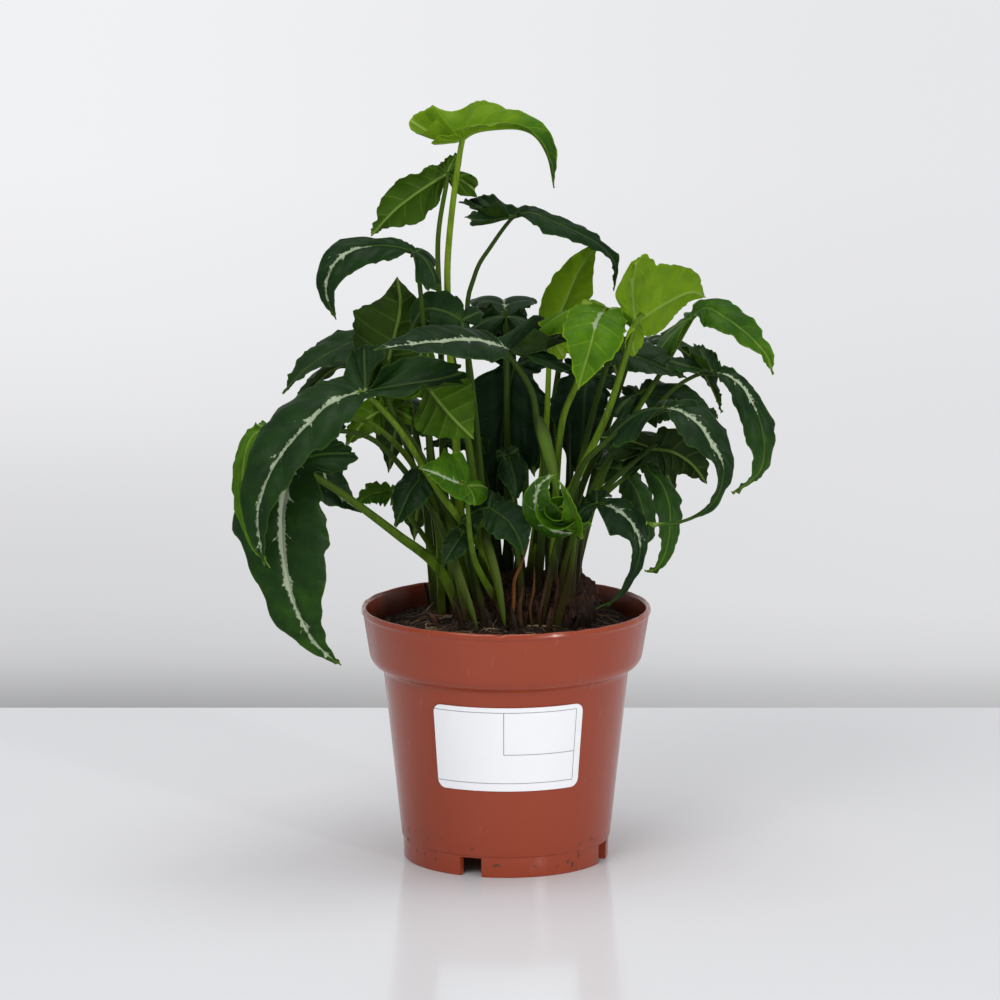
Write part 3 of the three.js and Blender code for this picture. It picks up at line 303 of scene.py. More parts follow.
def finished(name, bm, material, slot, *nodes):
    """Makes a piece of a bmesh in millimetres, sets it to ride on the root, and hides the imported nodes it
    stands for.
    """
    bmesh.ops.recalc_face_normals(bm, faces=bm.faces)
    bmesh.ops.scale(bm, vec=(MM, MM, MM), verts=bm.verts)
    mesh = bpy.data.meshes.new(name)
    bm.to_mesh(mesh)
    bm.free()
    mesh.shade_smooth()
    mesh.set_sharp_from_angle(angle=math.radians(50))
    mesh.materials.append(material)
    piece = bpy.data.objects.new(name, mesh)
    bpy.context.scene.collection.objects.link(piece)
    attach(piece, "root")
    if nodes:
        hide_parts(*nodes)


def angle_between(first, second):
    """How far apart two angles are, in degrees, the short way round."""
    return abs((first - second + 180) % 360 - 180)


def bell(distance, width):
    """1 in the middle, and soon nothing past the width."""
    return math.exp(-((distance / width) ** 2))


def off_notch(point, angle):
    return angle_between(math.degrees(math.atan2(point.y, point.x)), angle)


bm = bmesh.new()
ring = [bm.verts.new(point) for point in rounded(POT_OUTLINE)]
sides = [bm.edges.new(pair) for pair in zip(ring, ring[1:])]
bmesh.ops.spin(
    bm, geom=ring + sides, cent=(0, 0, 0), axis=(0, 0, 1), angle=math.tau, steps=POT_SPOKES, use_merge=True)
bmesh.ops.remove_doubles(bm, verts=bm.verts, dist=0.01)

for angle in NOTCH_ANGLES:
    window = [
        face for face in bm.faces
        if (centre := face.calc_center_median()).z < NOTCH_HEIGHT
        and off_notch(centre, angle) < NOTCH_HALF_ANGLE
    ]
    bmesh.ops.delete(bm, geom=window, context="FACES")
    top = [
        edge for edge in bm.edges if edge.is_boundary
        and all(abs(v.co.z - NOTCH_HEIGHT) < 0.01 for v in edge.verts)
        and off_notch(edge.verts[0].co, angle) < NOTCH_HALF_ANGLE + 1
    ]
    bmesh.ops.bridge_loops(bm, edges=top)
    bmesh.ops.holes_fill(bm, edges=[edge for edge in bm.edges if edge.is_boundary], sides=0)

for vertex in bm.verts:
    if vertex.co.z > LIP_FOOT:
        radius, angle = vertex.co.xy.length, math.atan2(vertex.co.y, vertex.co.x)
        rough = noise.noise(Vector((math.cos(angle) * LIP_WAVES, math.sin(angle) * LIP_WAVES, 4)))
        nick = bell(math.degrees(angle) - NICK_ANGLE, NICK_HALF_ANGLE) * (radius > NICK_INSIDE)
        vertex.co.z += (LIP_RISES * rough - NICK_DEPTH * nick) * min(1, (vertex.co.z - LIP_FOOT) / 2)
        vertex.co.xy *= 1 + (LIP_SWELLS * rough - NICK_DENT * nick) / radius

pot_plastic, finish = new_finish("pot_plastic")
mottle = finish.clouds(0.03, 3)
grain = finish.clouds(0.0006, 2)
scuff = finish.clouds(0.004, 4, stretch=(1, 1, 0.25)).eased(0.62, 0.72)
(height,) = finish.split(finish.place(), "Z")
flat_place = finish.node("ShaderNodeMapping", sockets={"Vector": finish.place(), "Scale": (1, 1, 0)})
radius = finish.node("ShaderNodeVectorMath", {"operation": "LENGTH"}, {0: flat_place}, output="Value")
dirt = finish.clouds(0.0035, 5).eased(0.64, 0.69) * height.eased(0.02, 0.008)
lip = height.eased(0.1047, 0.1053)
inside = (radius - INNER_WALL_LEAN * height).eased(*INNER_WALL)
# Painted shade: the inner wall from the collar's step to under the lip is darkened, standing in for the shade
# inside the pot.
inner_wall_shade = inside * height.eased(*PAINTED_SHADE_FOOT) * height.eased(*PAINTED_SHADE_HEAD)
colour = finish.mix(mottle, TERRACOTTA_DEEP, TERRACOTTA)
for share, tint in (
        (lip * 0.22, TERRACOTTA_RUBBED), (scuff * 0.05, TERRACOTTA_RUBBED), (dirt * 0.75, FOOT_DIRT),
        (inner_wall_shade * 0.65, INNER_WALL_PAINTED_SHADE)):
    colour = finish.mix(share, colour, tint)
finish.surface(finish.coat(
    colour, 0.17 + 0.05 * mottle + 0.10 * scuff + 0.35 * dirt, 0.42,
    relief=grain * 0.35 + scuff * 0.1 + dirt * 0.8, depth=0.00012))
finished("pot_shell", bm, pot_plastic, "pot_plastic", "pot")


# Label: a white self-adhesive sticker with round corners, wrapped round the front of the body.
# It carries a printed frame of thin ruled lines.
LABEL_WIDTH = 62.5
LABEL_HEIGHT = 35.5
LABEL_FOOT = 37.5
LABEL_MIDDLE = LABEL_FOOT + LABEL_HEIGHT / 2
LABEL_CORNER = 3.6
LABEL_TURN = 1.2
LABEL_STANDOFF = 0.35
LABEL_THICKNESS = 0.25
FRAME_LEFT, FRAME_RIGHT = -LABEL_WIDTH / 2, 28.2  # from the label's middle
FRAME_FOOT, FRAME_HEAD = -14.4, 15.7
INNER_COLUMN, INNER_ROW = -2, -2.2
LINE_WIDTH = 0.28
LINE_BLUR = 0.06
LINE_END_BLUR = 0.05
PAPER = [(0.89, 0.90, 0.93), (0.92, 0.93, 0.95)]
INK = (0.03, 0.03, 0.035)


def body_radius(height):
    (foot_radius, foot), (head_radius, head) = BODY_FOOT, BODY_HEAD
    return foot_radius + (head_radius - foot_radius) * (height - foot) / (head - foot)


bm = bmesh.new()
bmesh.ops.create_grid(bm, x_segments=72, y_segments=16, size=0.5)
across = bm.verts.layers.float.new("across")
upward = bm.verts.layers.float.new("upward")
for vertex in bm.verts:
    crowded = 1.5 * vertex.co.x - 2 * vertex.co.x ** 3  # columns stand closer near the round corners
    u = LABEL_WIDTH * crowded
    past = max(0, abs(u) - (LABEL_WIDTH / 2 - LABEL_CORNER))
    inset = LABEL_CORNER - math.sqrt(max(0, LABEL_CORNER ** 2 - past ** 2))
    v = vertex.co.y * (LABEL_HEIGHT - 2 * inset)
    height = LABEL_MIDDLE + v
    angle = u / body_radius(LABEL_MIDDLE) + math.radians(LABEL_TURN)
    radius = body_radius(height) + LABEL_STANDOFF
    vertex[across], vertex[upward] = u, v
    vertex.co = (radius * math.sin(angle), -radius * math.cos(angle), height)
bmesh.ops.remove_doubles(bm, verts=bm.verts, dist=0.001)
bmesh.ops.solidify(bm, geom=bm.faces[:], thickness=-LABEL_THICKNESS)

label_film, finish = new_finish("label_film")
u, v = finish.attribute("across"), finish.attribute("upward")


def ruled(position, level, start, end, along_signal):
    """A thin printed line at a level of one direction, from start to end of the other."""
    line = (position - level).size().eased(LINE_WIDTH / 2 + LINE_BLUR, LINE_WIDTH / 2 - LINE_BLUR)
    line = line * along_signal.eased(start - LINE_END_BLUR, start + LINE_END_BLUR)
    return line * along_signal.eased(end + LINE_END_BLUR, end - LINE_END_BLUR)


ink = ruled(v, FRAME_HEAD, FRAME_LEFT, FRAME_RIGHT, u)
ink = ink.most(ruled(v, FRAME_FOOT, FRAME_LEFT, FRAME_RIGHT, u))
ink = ink.most(ruled(u, FRAME_RIGHT, FRAME_FOOT, FRAME_HEAD, v))
ink = ink.most(ruled(u, INNER_COLUMN, INNER_ROW, FRAME_HEAD, v))
ink = ink.most(ruled(v, INNER_ROW, INNER_COLUMN, FRAME_RIGHT, u))
paper = finish.mix(finish.clouds(0.012, 3), *PAPER)
finish.surface(finish.coat(
    finish.mix(ink * 0.82, paper, INK), 0.42 + 0.08 * finish.clouds(0.002, 2),
    relief=finish.clouds(0.0009, 3), depth=0.00003))
finished("label_sticker", bm, label_film, "label_film", "label")


# Soil: the root ball of dark peat and bark that fills the pot, mounded round the stems.
# Its top is loose and lumpy, with a hump of old roots at the right and back.
SOIL_REACH = 56
SOIL_EDGE_HEIGHT = 95.5
SOIL_MOUND = 6
SOIL_HUMP = (25, 22, 15, 11)  # x, y, reach, height
SOIL_UNEVEN = 0.9
SOIL_SIDES = [(10.4, 41.4), (79.5, 48.9), (85, 53.7), (95.0, 55.9)]  # height, radius, from the floor up
BIG_LUMPS, BIG_LUMP_WAVES = 1.5, 0.22  # height, waves in a millimetre
SMALL_LUMPS, SMALL_LUMP_WAVES = 0.9, 0.5
LUMPS_MIDDLE = 1.1
SMOOTH_EDGE = 4
PEAT = [(0.30, (0.006, 0.004, 0.003)), (0.52, (0.020, 0.012, 0.008)), (0.72, (0.06, 0.036, 0.022))]
BARK = (0.075, 0.04, 0.022)
PEAT_FIBRE = (0.16, 0.10, 0.06)


def soil_height(x, y):
    share = min(1, math.hypot(x, y) / SOIL_REACH)
    hump_x, hump_y, reach, rise = SOIL_HUMP
    near = math.hypot(x - hump_x, y - hump_y) / reach
    uneven = SOIL_UNEVEN * math.sin(x * 0.21 + 1) * math.cos(y * 0.17)
    return (SOIL_EDGE_HEIGHT + SOIL_MOUND * (1 - share ** 2) + rise * math.exp(-near * near)
            + uneven * (1 - share ** 4))


def lumps(spot):
    return (BIG_LUMPS * noise.fractal(spot * BIG_LUMP_WAVES, 0.9, 2.1, 5)
            + SMALL_LUMPS * noise.ridged_multi_fractal(spot * SMALL_LUMP_WAVES, 1, 2, 3, 1, 2) - LUMPS_MIDDLE)


bm = bmesh.new()
bmesh.ops.create_grid(bm, x_segments=150, y_segments=150, size=1)
radius = SOIL_SIDES[-1][1]
for vertex in bm.verts:
    x, y = vertex.co.xy
    x, y = radius * x * math.sqrt(1 - y * y / 2), radius * y * math.sqrt(1 - x * x / 2)
    spot = Vector((x, y, 0))
    inside = min(1, (radius - spot.length) / SMOOTH_EDGE)
    vertex.co = (x, y, soil_height(x, y) + lumps(spot) * (0.25 + 0.75 * inside))
rim = [edge for edge in bm.edges if edge.is_boundary]
for height, radius in reversed(SOIL_SIDES):
    grown = bmesh.ops.extrude_edge_only(bm, edges=rim)["geom"]
    rim = [item for item in grown if isinstance(item, bmesh.types.BMEdge) and item.is_boundary]
    for vertex in {v for edge in rim for v in edge.verts}:
        vertex.co.xy *= radius / vertex.co.xy.length
        vertex.co.z = height
bmesh.ops.holes_fill(bm, edges=rim, sides=0)

potting_soil, finish = new_finish("potting_soil")
peat = finish.clouds(0.0022, 6)
bark = finish.clouds(0.006, 3).eased(0.55, 0.7)
fibre = finish.clouds(0.0012, 4, stretch=(1, 0.2, 1)).eased(0.60, 0.70)
colour = finish.mix(bark * 0.6, finish.ramp(peat, PEAT), BARK)
colour = finish.mix(fibre * 0.35, colour, PEAT_FIBRE)
finish.surface(finish.coat(colour, 0.75 + 0.2 * peat, 0.25, relief=peat + 0.5 * fibre, depth=0.0012))
finished("soil_ball", bm, potting_soil, "potting_soil", "soil")


# Crumbs: loose bits of peat and bark that lie on the soil, as they fell when the plant was potted.
# Each is a pebble of twenty faces, pressed out of true.
CRUMB_COUNT = 420
CRUMB_SEED = 5
CRUMB_REACH = 53
CRUMB_RADII = (0.35, 1.3)
CRUMB_PEAT = [(0.35, (0.012, 0.008, 0.005)), (0.6, (0.05, 0.028, 0.016)), (0.75, (0.13, 0.075, 0.04))]

chance = random.Random(CRUMB_SEED)
bm = bmesh.new()
for _ in range(CRUMB_COUNT):
    far, angle = CRUMB_REACH * math.sqrt(chance.random()), chance.uniform(0, math.tau)
    x, y = far * math.cos(angle), far * math.sin(angle)
    radius = chance.uniform(*CRUMB_RADII)
    place = Matrix.Translation((x, y, soil_height(x, y) + 0.4 + 0.3 * radius))
    turn = Matrix.Rotation(chance.uniform(0, math.tau), 4, Vector((chance.random(), chance.random(), 1)))
    squash = Matrix.Diagonal((1.5, chance.uniform(0.6, 1.1), chance.uniform(0.4, 0.9), 1))
    bmesh.ops.create_icosphere(bm, subdivisions=1, radius=radius, matrix=place @ turn @ squash)
noise.seed_set(CRUMB_SEED)
for vertex in bm.verts:
    vertex.co += 0.25 * noise.noise_vector(vertex.co * 1.3)


def earthy_finish(name, patch, stops, roughness, shine, grain, depth):
    """A dull brown skin in patches. roughness is its least, and how far it rises in the bright patches."""
    material, finish = new_finish(name)
    tint = finish.clouds(*patch)
    least, more = roughness
    finish.surface(finish.coat(
        finish.ramp(tint, stops), least + more * tint, shine, relief=finish.clouds(*grain), depth=depth))
    return material


peat_crumbs = earthy_finish("peat_crumbs", (0.003, 3), CRUMB_PEAT, (0.8, 0.15), 0.25, (0.0006, 4), 0.0004)
finished("soil_crumbs", bm, peat_crumbs, "potting_soil")


# Roots: thin pale feeding roots and brown fibres that lie in loose curves on the soil round the crown.
# They start a quarter to three quarters of a millimetre thick. The listed ones show beside the stems.
FRONT_ROOTS = [
    [(-4, -18, 103), (-6, -24, 100.5), (-7, -32, 97.5), (-8, -40, 96.5)],
    [(1, -40, 96.5), (4, -31, 98.5), (11, -24, 100), (22, -22, 99.5), (30, -24, 98)],
    [(20, 6, 109), (30, 0, 104), (38, -6, 100.5), (46, -9, 98)],
    [(-24, -8, 103), (-31, -12, 100), (-36, -19, 98.5), (-43, -20, 97.5)],
    [(-20, -16, 101.5), (-27, -22, 99.8), (-30, -30, 98)],
    [(-30, 2, 106), (-33, -2, 103), (-28, -7, 102.5), (-22, -9, 103)],
    [(28, 12, 112), (34, 6, 107), (36, -2, 103), (43, -3, 101)],
]
FRONT_ROOT_RADIUS = 0.38
ROOT_COUNT = 130
ROOT_RADII = (0.12, 0.32)
ROOT_STARTS = (14, 44)  # from the pot's axis
ROOT_REACH = 52
ROOT_STEP = 5
ROOT_BROWNS = [(0.38, (0.05, 0.026, 0.013)), (0.55, (0.16, 0.09, 0.05)), (0.7, (0.42, 0.30, 0.18))]


def along(points, t):
    """Where a uniform Catmull-Rom curve through the points is at t, from 0 to their number less one."""
    last = len(points) - 1
    i = min(int(t), last - 1)
    f = t - i
    p0, p1, p2, p3 = (points[max(0, min(last, k))] for k in (i - 1, i, i + 1, i + 2))
    v0, v1 = (p2 - p0) / 2, (p3 - p1) / 2
    return (2 * p1 - 2 * p2 + v0 + v1) * f ** 3 + (3 * p2 - 3 * p1 - 2 * v0 - v1) * f ** 2 + v0 * f + p1


class Line:
    """A curve through points, with evenly spaced frames: place, way ahead, upper side and right side."""

    FINE = 240

    def __init__(self, points, face, twist=0, count=40):
        points = [Vector(p) for p in points]
        spots = [along(points, k / self.FINE * (len(points) - 1)) for k in range(self.FINE + 1)]
        run = [0]
        for a, b in zip(spots, spots[1:]):
            run.append(run[-1] + (b - a).length)
        self.length = run[-1]
        self.frames = []
        up = Vector(face).normalized()
        k = 0
        for i in range(count + 1):
            goal = i / count * self.length
            while k < self.FINE - 1 and run[k + 1] < goal:
                k += 1
            at = spots[k].lerp(spots[k + 1], (goal - run[k]) / (run[k + 1] - run[k]))
            ahead = (spots[min(self.FINE, k + 2)] - spots[max(0, k - 1)]).normalized()
            up = (up - ahead * up.dot(ahead)).normalized()
            turned = Quaternion(ahead, math.radians(twist * i / count)) @ up
            self.frames.append((at, ahead, turned, turned.cross(ahead)))

    def frame(self, share):
        t = max(0, min(1, share)) * (len(self.frames) - 1)
        i = min(int(t), len(self.frames) - 2)
        return [a.lerp(b, t - i) for a, b in zip(self.frames[i], self.frames[i + 1])]


def add_tube(bm, line, sides, steps, offset):
    """Adds a closed tube round a line, and gives its vertices, each with its share of the way along.

    offset(share, angle) is the tube's radius, and the angle starts at the right side.
    """
    made = bmesh.ops.create_grid(bm, x_segments=sides, y_segments=steps, size=0.5)["verts"]
    shares = [0.5 - vertex.co.y for vertex in made]
    for vertex, share in zip(made, shares):
        angle = math.tau * vertex.co.x
        at, _, up, right = line.frame(share)
        vertex.co = at + (right * math.cos(angle) + up * math.sin(angle)) * offset(share, angle)
    bmesh.ops.remove_doubles(bm, verts=made, dist=0.004)
    bmesh.ops.holes_fill(bm, edges=[edge for edge in bm.edges if edge.is_boundary], sides=0)
    return [(vertex, share) for vertex, share in zip(made, shares) if vertex.is_valid]


def add_root(points, thickness):
    line = Line(points, (0, 0, 1), count=24)
    add_tube(bm, line, 5, 24, lambda share, _: thickness * (1 - 0.65 * share))


bm = bmesh.new()
for points in FRONT_ROOTS:
    add_root(points, FRONT_ROOT_RADIUS)
for _ in range(ROOT_COUNT):
    angle, far = chance.uniform(0, math.tau), chance.uniform(*ROOT_STARTS)
    heading = angle + chance.uniform(-1.3, 1.3)
    x, y = far * math.cos(angle), far * math.sin(angle)
    points = []
    for _ in range(5):
        if math.hypot(x, y) > ROOT_REACH:
            break
        points.append((x, y, soil_height(x, y) + chance.uniform(-0.4, 1.4)))
        heading += chance.uniform(-0.8, 0.8)
        x += ROOT_STEP * math.cos(heading)
        y += ROOT_STEP * math.sin(heading)
    if len(points) > 2:
        add_root(points, chance.uniform(*ROOT_RADII))

root_skin = earthy_finish("root_skin", (0.009, 3), ROOT_BROWNS, (0.6, 0.2), 0.5, (0.0005, 3), 0.0001)
finished("surface_roots", bm, root_skin, "potting_soil")


# Sheaths: the feet of spent leaves, papery scales that still clasp the stems above the soil.
# Those behind are deep green and three in front are paler. Some are orange threads, the rest dry and brown.
SHEATHS = [  # points from the open end to the pointed one, half the width in mm, dryness from 0 to 1
    ([(-22.5, -22.5, 135), (-18.8, -25.5, 123), (-14.8, -27.5, 112), (-11.5, -28.5, 101)], 2.3, 0.14),
    ([(-9.5, -20.5, 142), (-5, -23.5, 127), (-2.5, -25, 116), (-0.5, -25.5, 102)], 2.1, 0.18),
    ([(13.2, -22, 188), (16.0, -24.5, 177), (18.5, -26, 168), (21, -26, 156)], 2.9, 0.3),
    ([(0.5, 11, 98), (0.6, 12, 116), (0.4, 12, 134)], 3.0, 0.0),
    ([(-3, 11, 98), (-4, 12, 120), (-4.4, 12, 143)], 3.2, 0.0),
    ([(11, 14, 98), (12, 15, 118), (12.3, 15, 136)], 3.0, 0.02),
    ([(-10, 9, 98), (-11, 10, 112), (-12, 10, 128)], 2.6, 0.03),
    ([(17, 11, 98), (18, 12, 130), (19, 9, 162), (19.5, 8, 180)], 2.6, 0.0),
    ([(23, 9, 98), (24.5, 10, 130), (25.2, 8, 165), (26, 8, 182)], 2.6, 0.0),
    ([(-20, 9, 98), (-25, 9, 130), (-29.5, 8, 165), (-31, 8, 180)], 2.4, 0.0),
    ([(1.5, -22, 99), (3.0, -22.5, 111), (3.4, -22, 120), (6.2, -21, 127), (9.5, -20, 137)], 0.65, 0.66),
    ([(11, -21, 99), (9.8, -20.8, 108), (11.2, -20.8, 116), (11.6, -19, 125)], 0.5, 0.75),
    ([(6.2, -22.5, 99), (5.6, -22.4, 109), (6.9, -21.5, 117)], 0.9, 0.8),
    ([(14, -22, 99), (14.3, -21.8, 108), (16.5, -21, 119)], 1.0, 0.85),
    ([(19, -20, 99), (20.3, -19.8, 109), (21.5, -19, 121)], 1.1, 0.8),
    ([(-17, -21, 98), (-19, -22, 106), (-21.5, -22, 113)], 1.3, 0.95),
    ([(-6.5, -24, 98), (-7, -24.3, 104), (-8.5, -23.5, 110)], 1.2, 1.0),
    ([(4, -24.5, 98), (3.2, -24.6, 104), (2, -24, 109)], 1.3, 1.0),
    ([(17, -26, 98), (17.5, -26.5, 104), (18.5, -26.5, 110)], 1.4, 0.9),
    ([(28, -18, 97), (29, -19, 103), (31, -20, 108)], 1.5, 1.0),
    ([(33, 6, 98), (35, 7, 106), (37, 8, 112)], 1.6, 0.85),
    ([(27, 34, 98), (29, 37, 106), (31, 40, 112)], 1.7, 0.9),
    ([(8, 41, 98), (8, 43, 106), (9, 45, 113)], 1.8, 0.75),
    ([(-12, 38, 98), (-13, 41, 106), (-14, 43, 112)], 1.8, 0.95),
    ([(-30, 22, 98), (-32, 23, 105), (-34, 24, 110)], 1.6, 0.85),
]
SHEATH_MARKS = ("dry", "run")
SHEATH_THICKNESS = 0.3
SHEATH_LEAST = 0.06  # half the width at the very point
SHEATH_HALF_TURN = 1.35  # radians that a sheath wraps on either side of its middle
SHEATH_FLATTENED = 0.9
SHEATH_LIFT, SHEATH_TEAR = 0.5, 1.5  # how far the edges of a dry one lift, and are torn along it
SHEATH_AGES = [
    (0.0, (0.012, 0.024, 0.003)), (0.15, (0.055, 0.082, 0.005)), (0.3, (0.062, 0.125, 0.008)),
    (0.6, (0.15, 0.048, 0.005)), (0.8, (0.050, 0.020, 0.006)), (1.0, (0.016, 0.009, 0.005)),
]
SHEATH_FOOT = (0.020, 0.028, 0.005)


def thickened(bm, skins):
    """Gives a sheet its wall. skins says how far its two faces lie from each numbered vertex."""
    number = bm.verts.layers.int["number"]
    bm.normal_update()
    sheet = {vertex[number]: (vertex.co.copy(), vertex.normal.copy()) for vertex in bm.verts}
    upper = set(bm.verts)
    bmesh.ops.solidify(bm, geom=bm.faces[:], thickness=1)
    for vertex in bm.verts:
        (place, normal), (above, below) = sheet[vertex[number]], skins[vertex[number]]
        vertex.co = place + normal * (above if vertex in upper else -below)
    return upper


bm = bmesh.new()
dry_layer, run_layer = (bm.verts.layers.float.new(key) for key in SHEATH_MARKS)
number_layer = bm.verts.layers.int.new("number")
for seed, (points, half, dryness) in enumerate(SHEATHS):
    foot = Vector(points[0])
    line = Line(points, (foot.x, foot.y, 0))
    for vertex in bmesh.ops.create_grid(bm, x_segments=10, y_segments=26, size=0.5)["verts"]:
        across, share = vertex.co.x * 2, 0.5 + vertex.co.y
        at, ahead, up, right = line.frame(share)
        width = half * (1 - share ** 2.2) ** 0.6 * min(1, 0.3 + 3.5 * share) ** 0.8 + SHEATH_LEAST
        angle = across * SHEATH_HALF_TURN
        lifted = SHEATH_LIFT * dryness * noise.noise(Vector((share * 7, across * 2, seed)))
        torn = SHEATH_TEAR * dryness * noise.noise(Vector((across * 3, seed, 2))) * share
        vertex.co = (at + right * math.sin(angle) * width + ahead * torn
                     + up * (math.cos(angle) * width * SHEATH_FLATTENED + lifted))
        vertex[dry_layer], vertex[run_layer] = dryness, share
for index, vertex in enumerate(bm.verts):
    vertex[number_layer] = index
thickened(bm, [(SHEATH_THICKNESS / 2, SHEATH_THICKNESS / 2)] * len(bm.verts))

sheath_skin, finish = new_finish("sheath_skin")
dry, run = (finish.attribute(key) for key in SHEATH_MARKS)
streaks = finish.clouds(0.0014, 3, stretch=(1, 1, 0.12))
colour = finish.ramp(dry + 0.25 * (streaks - 0.5), SHEATH_AGES)
colour = finish.mix(run.eased(0.35, 0.0) * 0.8, colour, SHEATH_FOOT)
finish.surface(finish.coat(colour, 0.45 + 0.25 * streaks, 0.18, relief=streaks, depth=0.0003))
finished("old_sheaths", bm, sheath_skin, "leaf_green")


# Root crown: the knot of old stem bases and matted roots that the stalks rise from, proud of the soil.
# It is dark and fibrous, highest at the right where spent stems were cut back. Its near-black browns are also
# painted shade, filling the dark between the stalks' feet.
CROWN_LUMPS = [  # centre, half sizes
    ((8, -8, 102), (13, 12, 12)), ((-9, -5, 102), (13, 10, 10)), ((22, -7, 103), (14, 12, 15)),
    ((24, 5, 105), (14, 13, 16)), ((2, 12, 104), (16, 12, 13)), ((14, 20, 103), (15, 12, 13)),
    ((-14, 8, 101), (13, 11, 9)),
]
KNOT_HEIGHT, KNOT_WAVES = 2.2, Vector((0.35, 0.35, 0.12))  # waves in a millimetre, drawn out upwards
FIBRE_HEIGHT, FIBRE_WAVES = 0.8, Vector((1, 1, 0.25))
CROWN_BROWNS_AND_SHADE = [(0.35, (0.010, 0.006, 0.004)), (0.55, (0.032, 0.014, 0.008)), (0.72, (0.075, 0.028, 0.014))]
CROWN_FIBRE = (0.12, 0.055, 0.022)

bm = bmesh.new()
for centre, sizes in CROWN_LUMPS:
    for vertex in bmesh.ops.create_icosphere(bm, subdivisions=5, radius=1)["verts"]:
        out = vertex.co.copy()
        spot = Vector(centre) + out * Vector(sizes)
        knots = KNOT_HEIGHT * noise.fractal(spot * KNOT_WAVES, 0.8, 2.1, 5)
        vertex.co = spot + out * (knots + FIBRE_HEIGHT * noise.noise(spot * FIBRE_WAVES))

root_crown, finish = new_finish("root_crown")
tint = finish.clouds(0.005, 4)
fibre = finish.clouds(0.0012, 3, stretch=(1, 1, 0.15)).eased(0.5, 0.68)
colour = finish.mix(fibre * 0.4, finish.ramp(tint, CROWN_BROWNS_AND_SHADE), CROWN_FIBRE)
finish.surface(finish.coat(colour, 0.65 + 0.3 * tint, 0.2, relief=tint + fibre, depth=0.0008))
finished("root_crown", bm, root_crown, "potting_soil")


# Stubs: short brown-red ends of cut and rotted stems that stand out of the soil, most of them at the right.
# They are woody, blunt and ringed with scars.
STUBS = [  # foot, top, radius at the foot
    ((28, -4, 99), (32, -8, 107), 2.6), ((30, 0, 101), (36, -2, 110), 2.6), ((32, 9, 102), (38, 8, 112), 2.8),
    ((29, -10, 98), (32, -14, 104), 2.1), ((31, 16, 103), (37, 18, 112), 2.5),
    ((27, 32, 101), (29, 38, 108), 2.2), ((-28, -9, 98), (-31, -12, 104), 2.0),
    ((-14, 39, 98), (-16, 43, 104), 2.0),
]
STUB_TAPER = 0.25
STUB_RINGS, STUB_RING_TURNS = 0.07, 24  # height as a share of the radius, radians from foot to top
STUB_BROWNS = [(0.35, (0.022, 0.010, 0.007)), (0.55, (0.075, 0.028, 0.016)), (0.72, (0.15, 0.065, 0.032))]


def stub_radius(share, angle, girth, seed):
    blunt = min(1, 3.2 * (1.02 - share)) ** 0.5
    rings = STUB_RINGS * math.sin(share * STUB_RING_TURNS)
    uneven = 0.16 * noise.noise(Vector((math.cos(angle), share * 3, seed)))
    return girth * ((1 - STUB_TAPER * share) * blunt + rings + uneven)


bm = bmesh.new()
for seed, (foot, top, girth) in enumerate(STUBS):
    line = Line([foot, Vector(foot).lerp(Vector(top), 0.5), top], (0, 0, 1), count=16)
    add_tube(bm, line, 14, 14, lambda share, angle: stub_radius(share, angle, girth, seed))

stub_bark = earthy_finish("stub_bark", (0.004, 4), STUB_BROWNS, (0.6, 0.3), 0.25, (0.0008, 4), 0.0005)
finished("stem_stubs", bm, stub_bark, "potting_soil")


# Leaves: each is one grown piece, a sheathed stalk and a three-lobed blade bent along its midrib.
# The oldest are near-black green with a silver band along the midrib, and the youngest are lime and plain.
LEAF_DEFAULTS = dict(  # in millimetres and degrees
    slot="leaf_dark",
    stalk=None,             # points that the stalk passes, between the foot (x, y) and the blade
    girth=2.1,              # the stalk's radius at the foot
    tip_age=None,           # the age at the tip, where it differs: 0 is just unrolled, and 1 is oldest
    stem=None,              # the stalk's age, where it differs
    silver=0,               # half the band's width
    silver_run=(0, 1),      # the stretch of the midrib that it covers
    half=13, slim=1,        # half the blade's width, and how much of it the outer half keeps
    waist=0.42,             # the width where the side lobes join, as a share of half
    lobe=24, spread=125,    # the side lobe's length, and its angle from the midrib in degrees
    droop=0.3,              # how far the lobe hangs, as a share of its length
    fold=18, curl=38,       # the slope at the midrib, and how far the margin has turned down, in degrees
    twist=0,                # turn about the midrib from base to tip, in degrees
    wave=1.6, waves=2,      # height of the margin's waves, and how many there are from base to tip
    crisp=0.8,              # how crumpled and ragged the margin is
)
SIDED = ("lobe", "half", "spread", "droop", "waist", "slim")  # a pair of these is for the blade's two sides
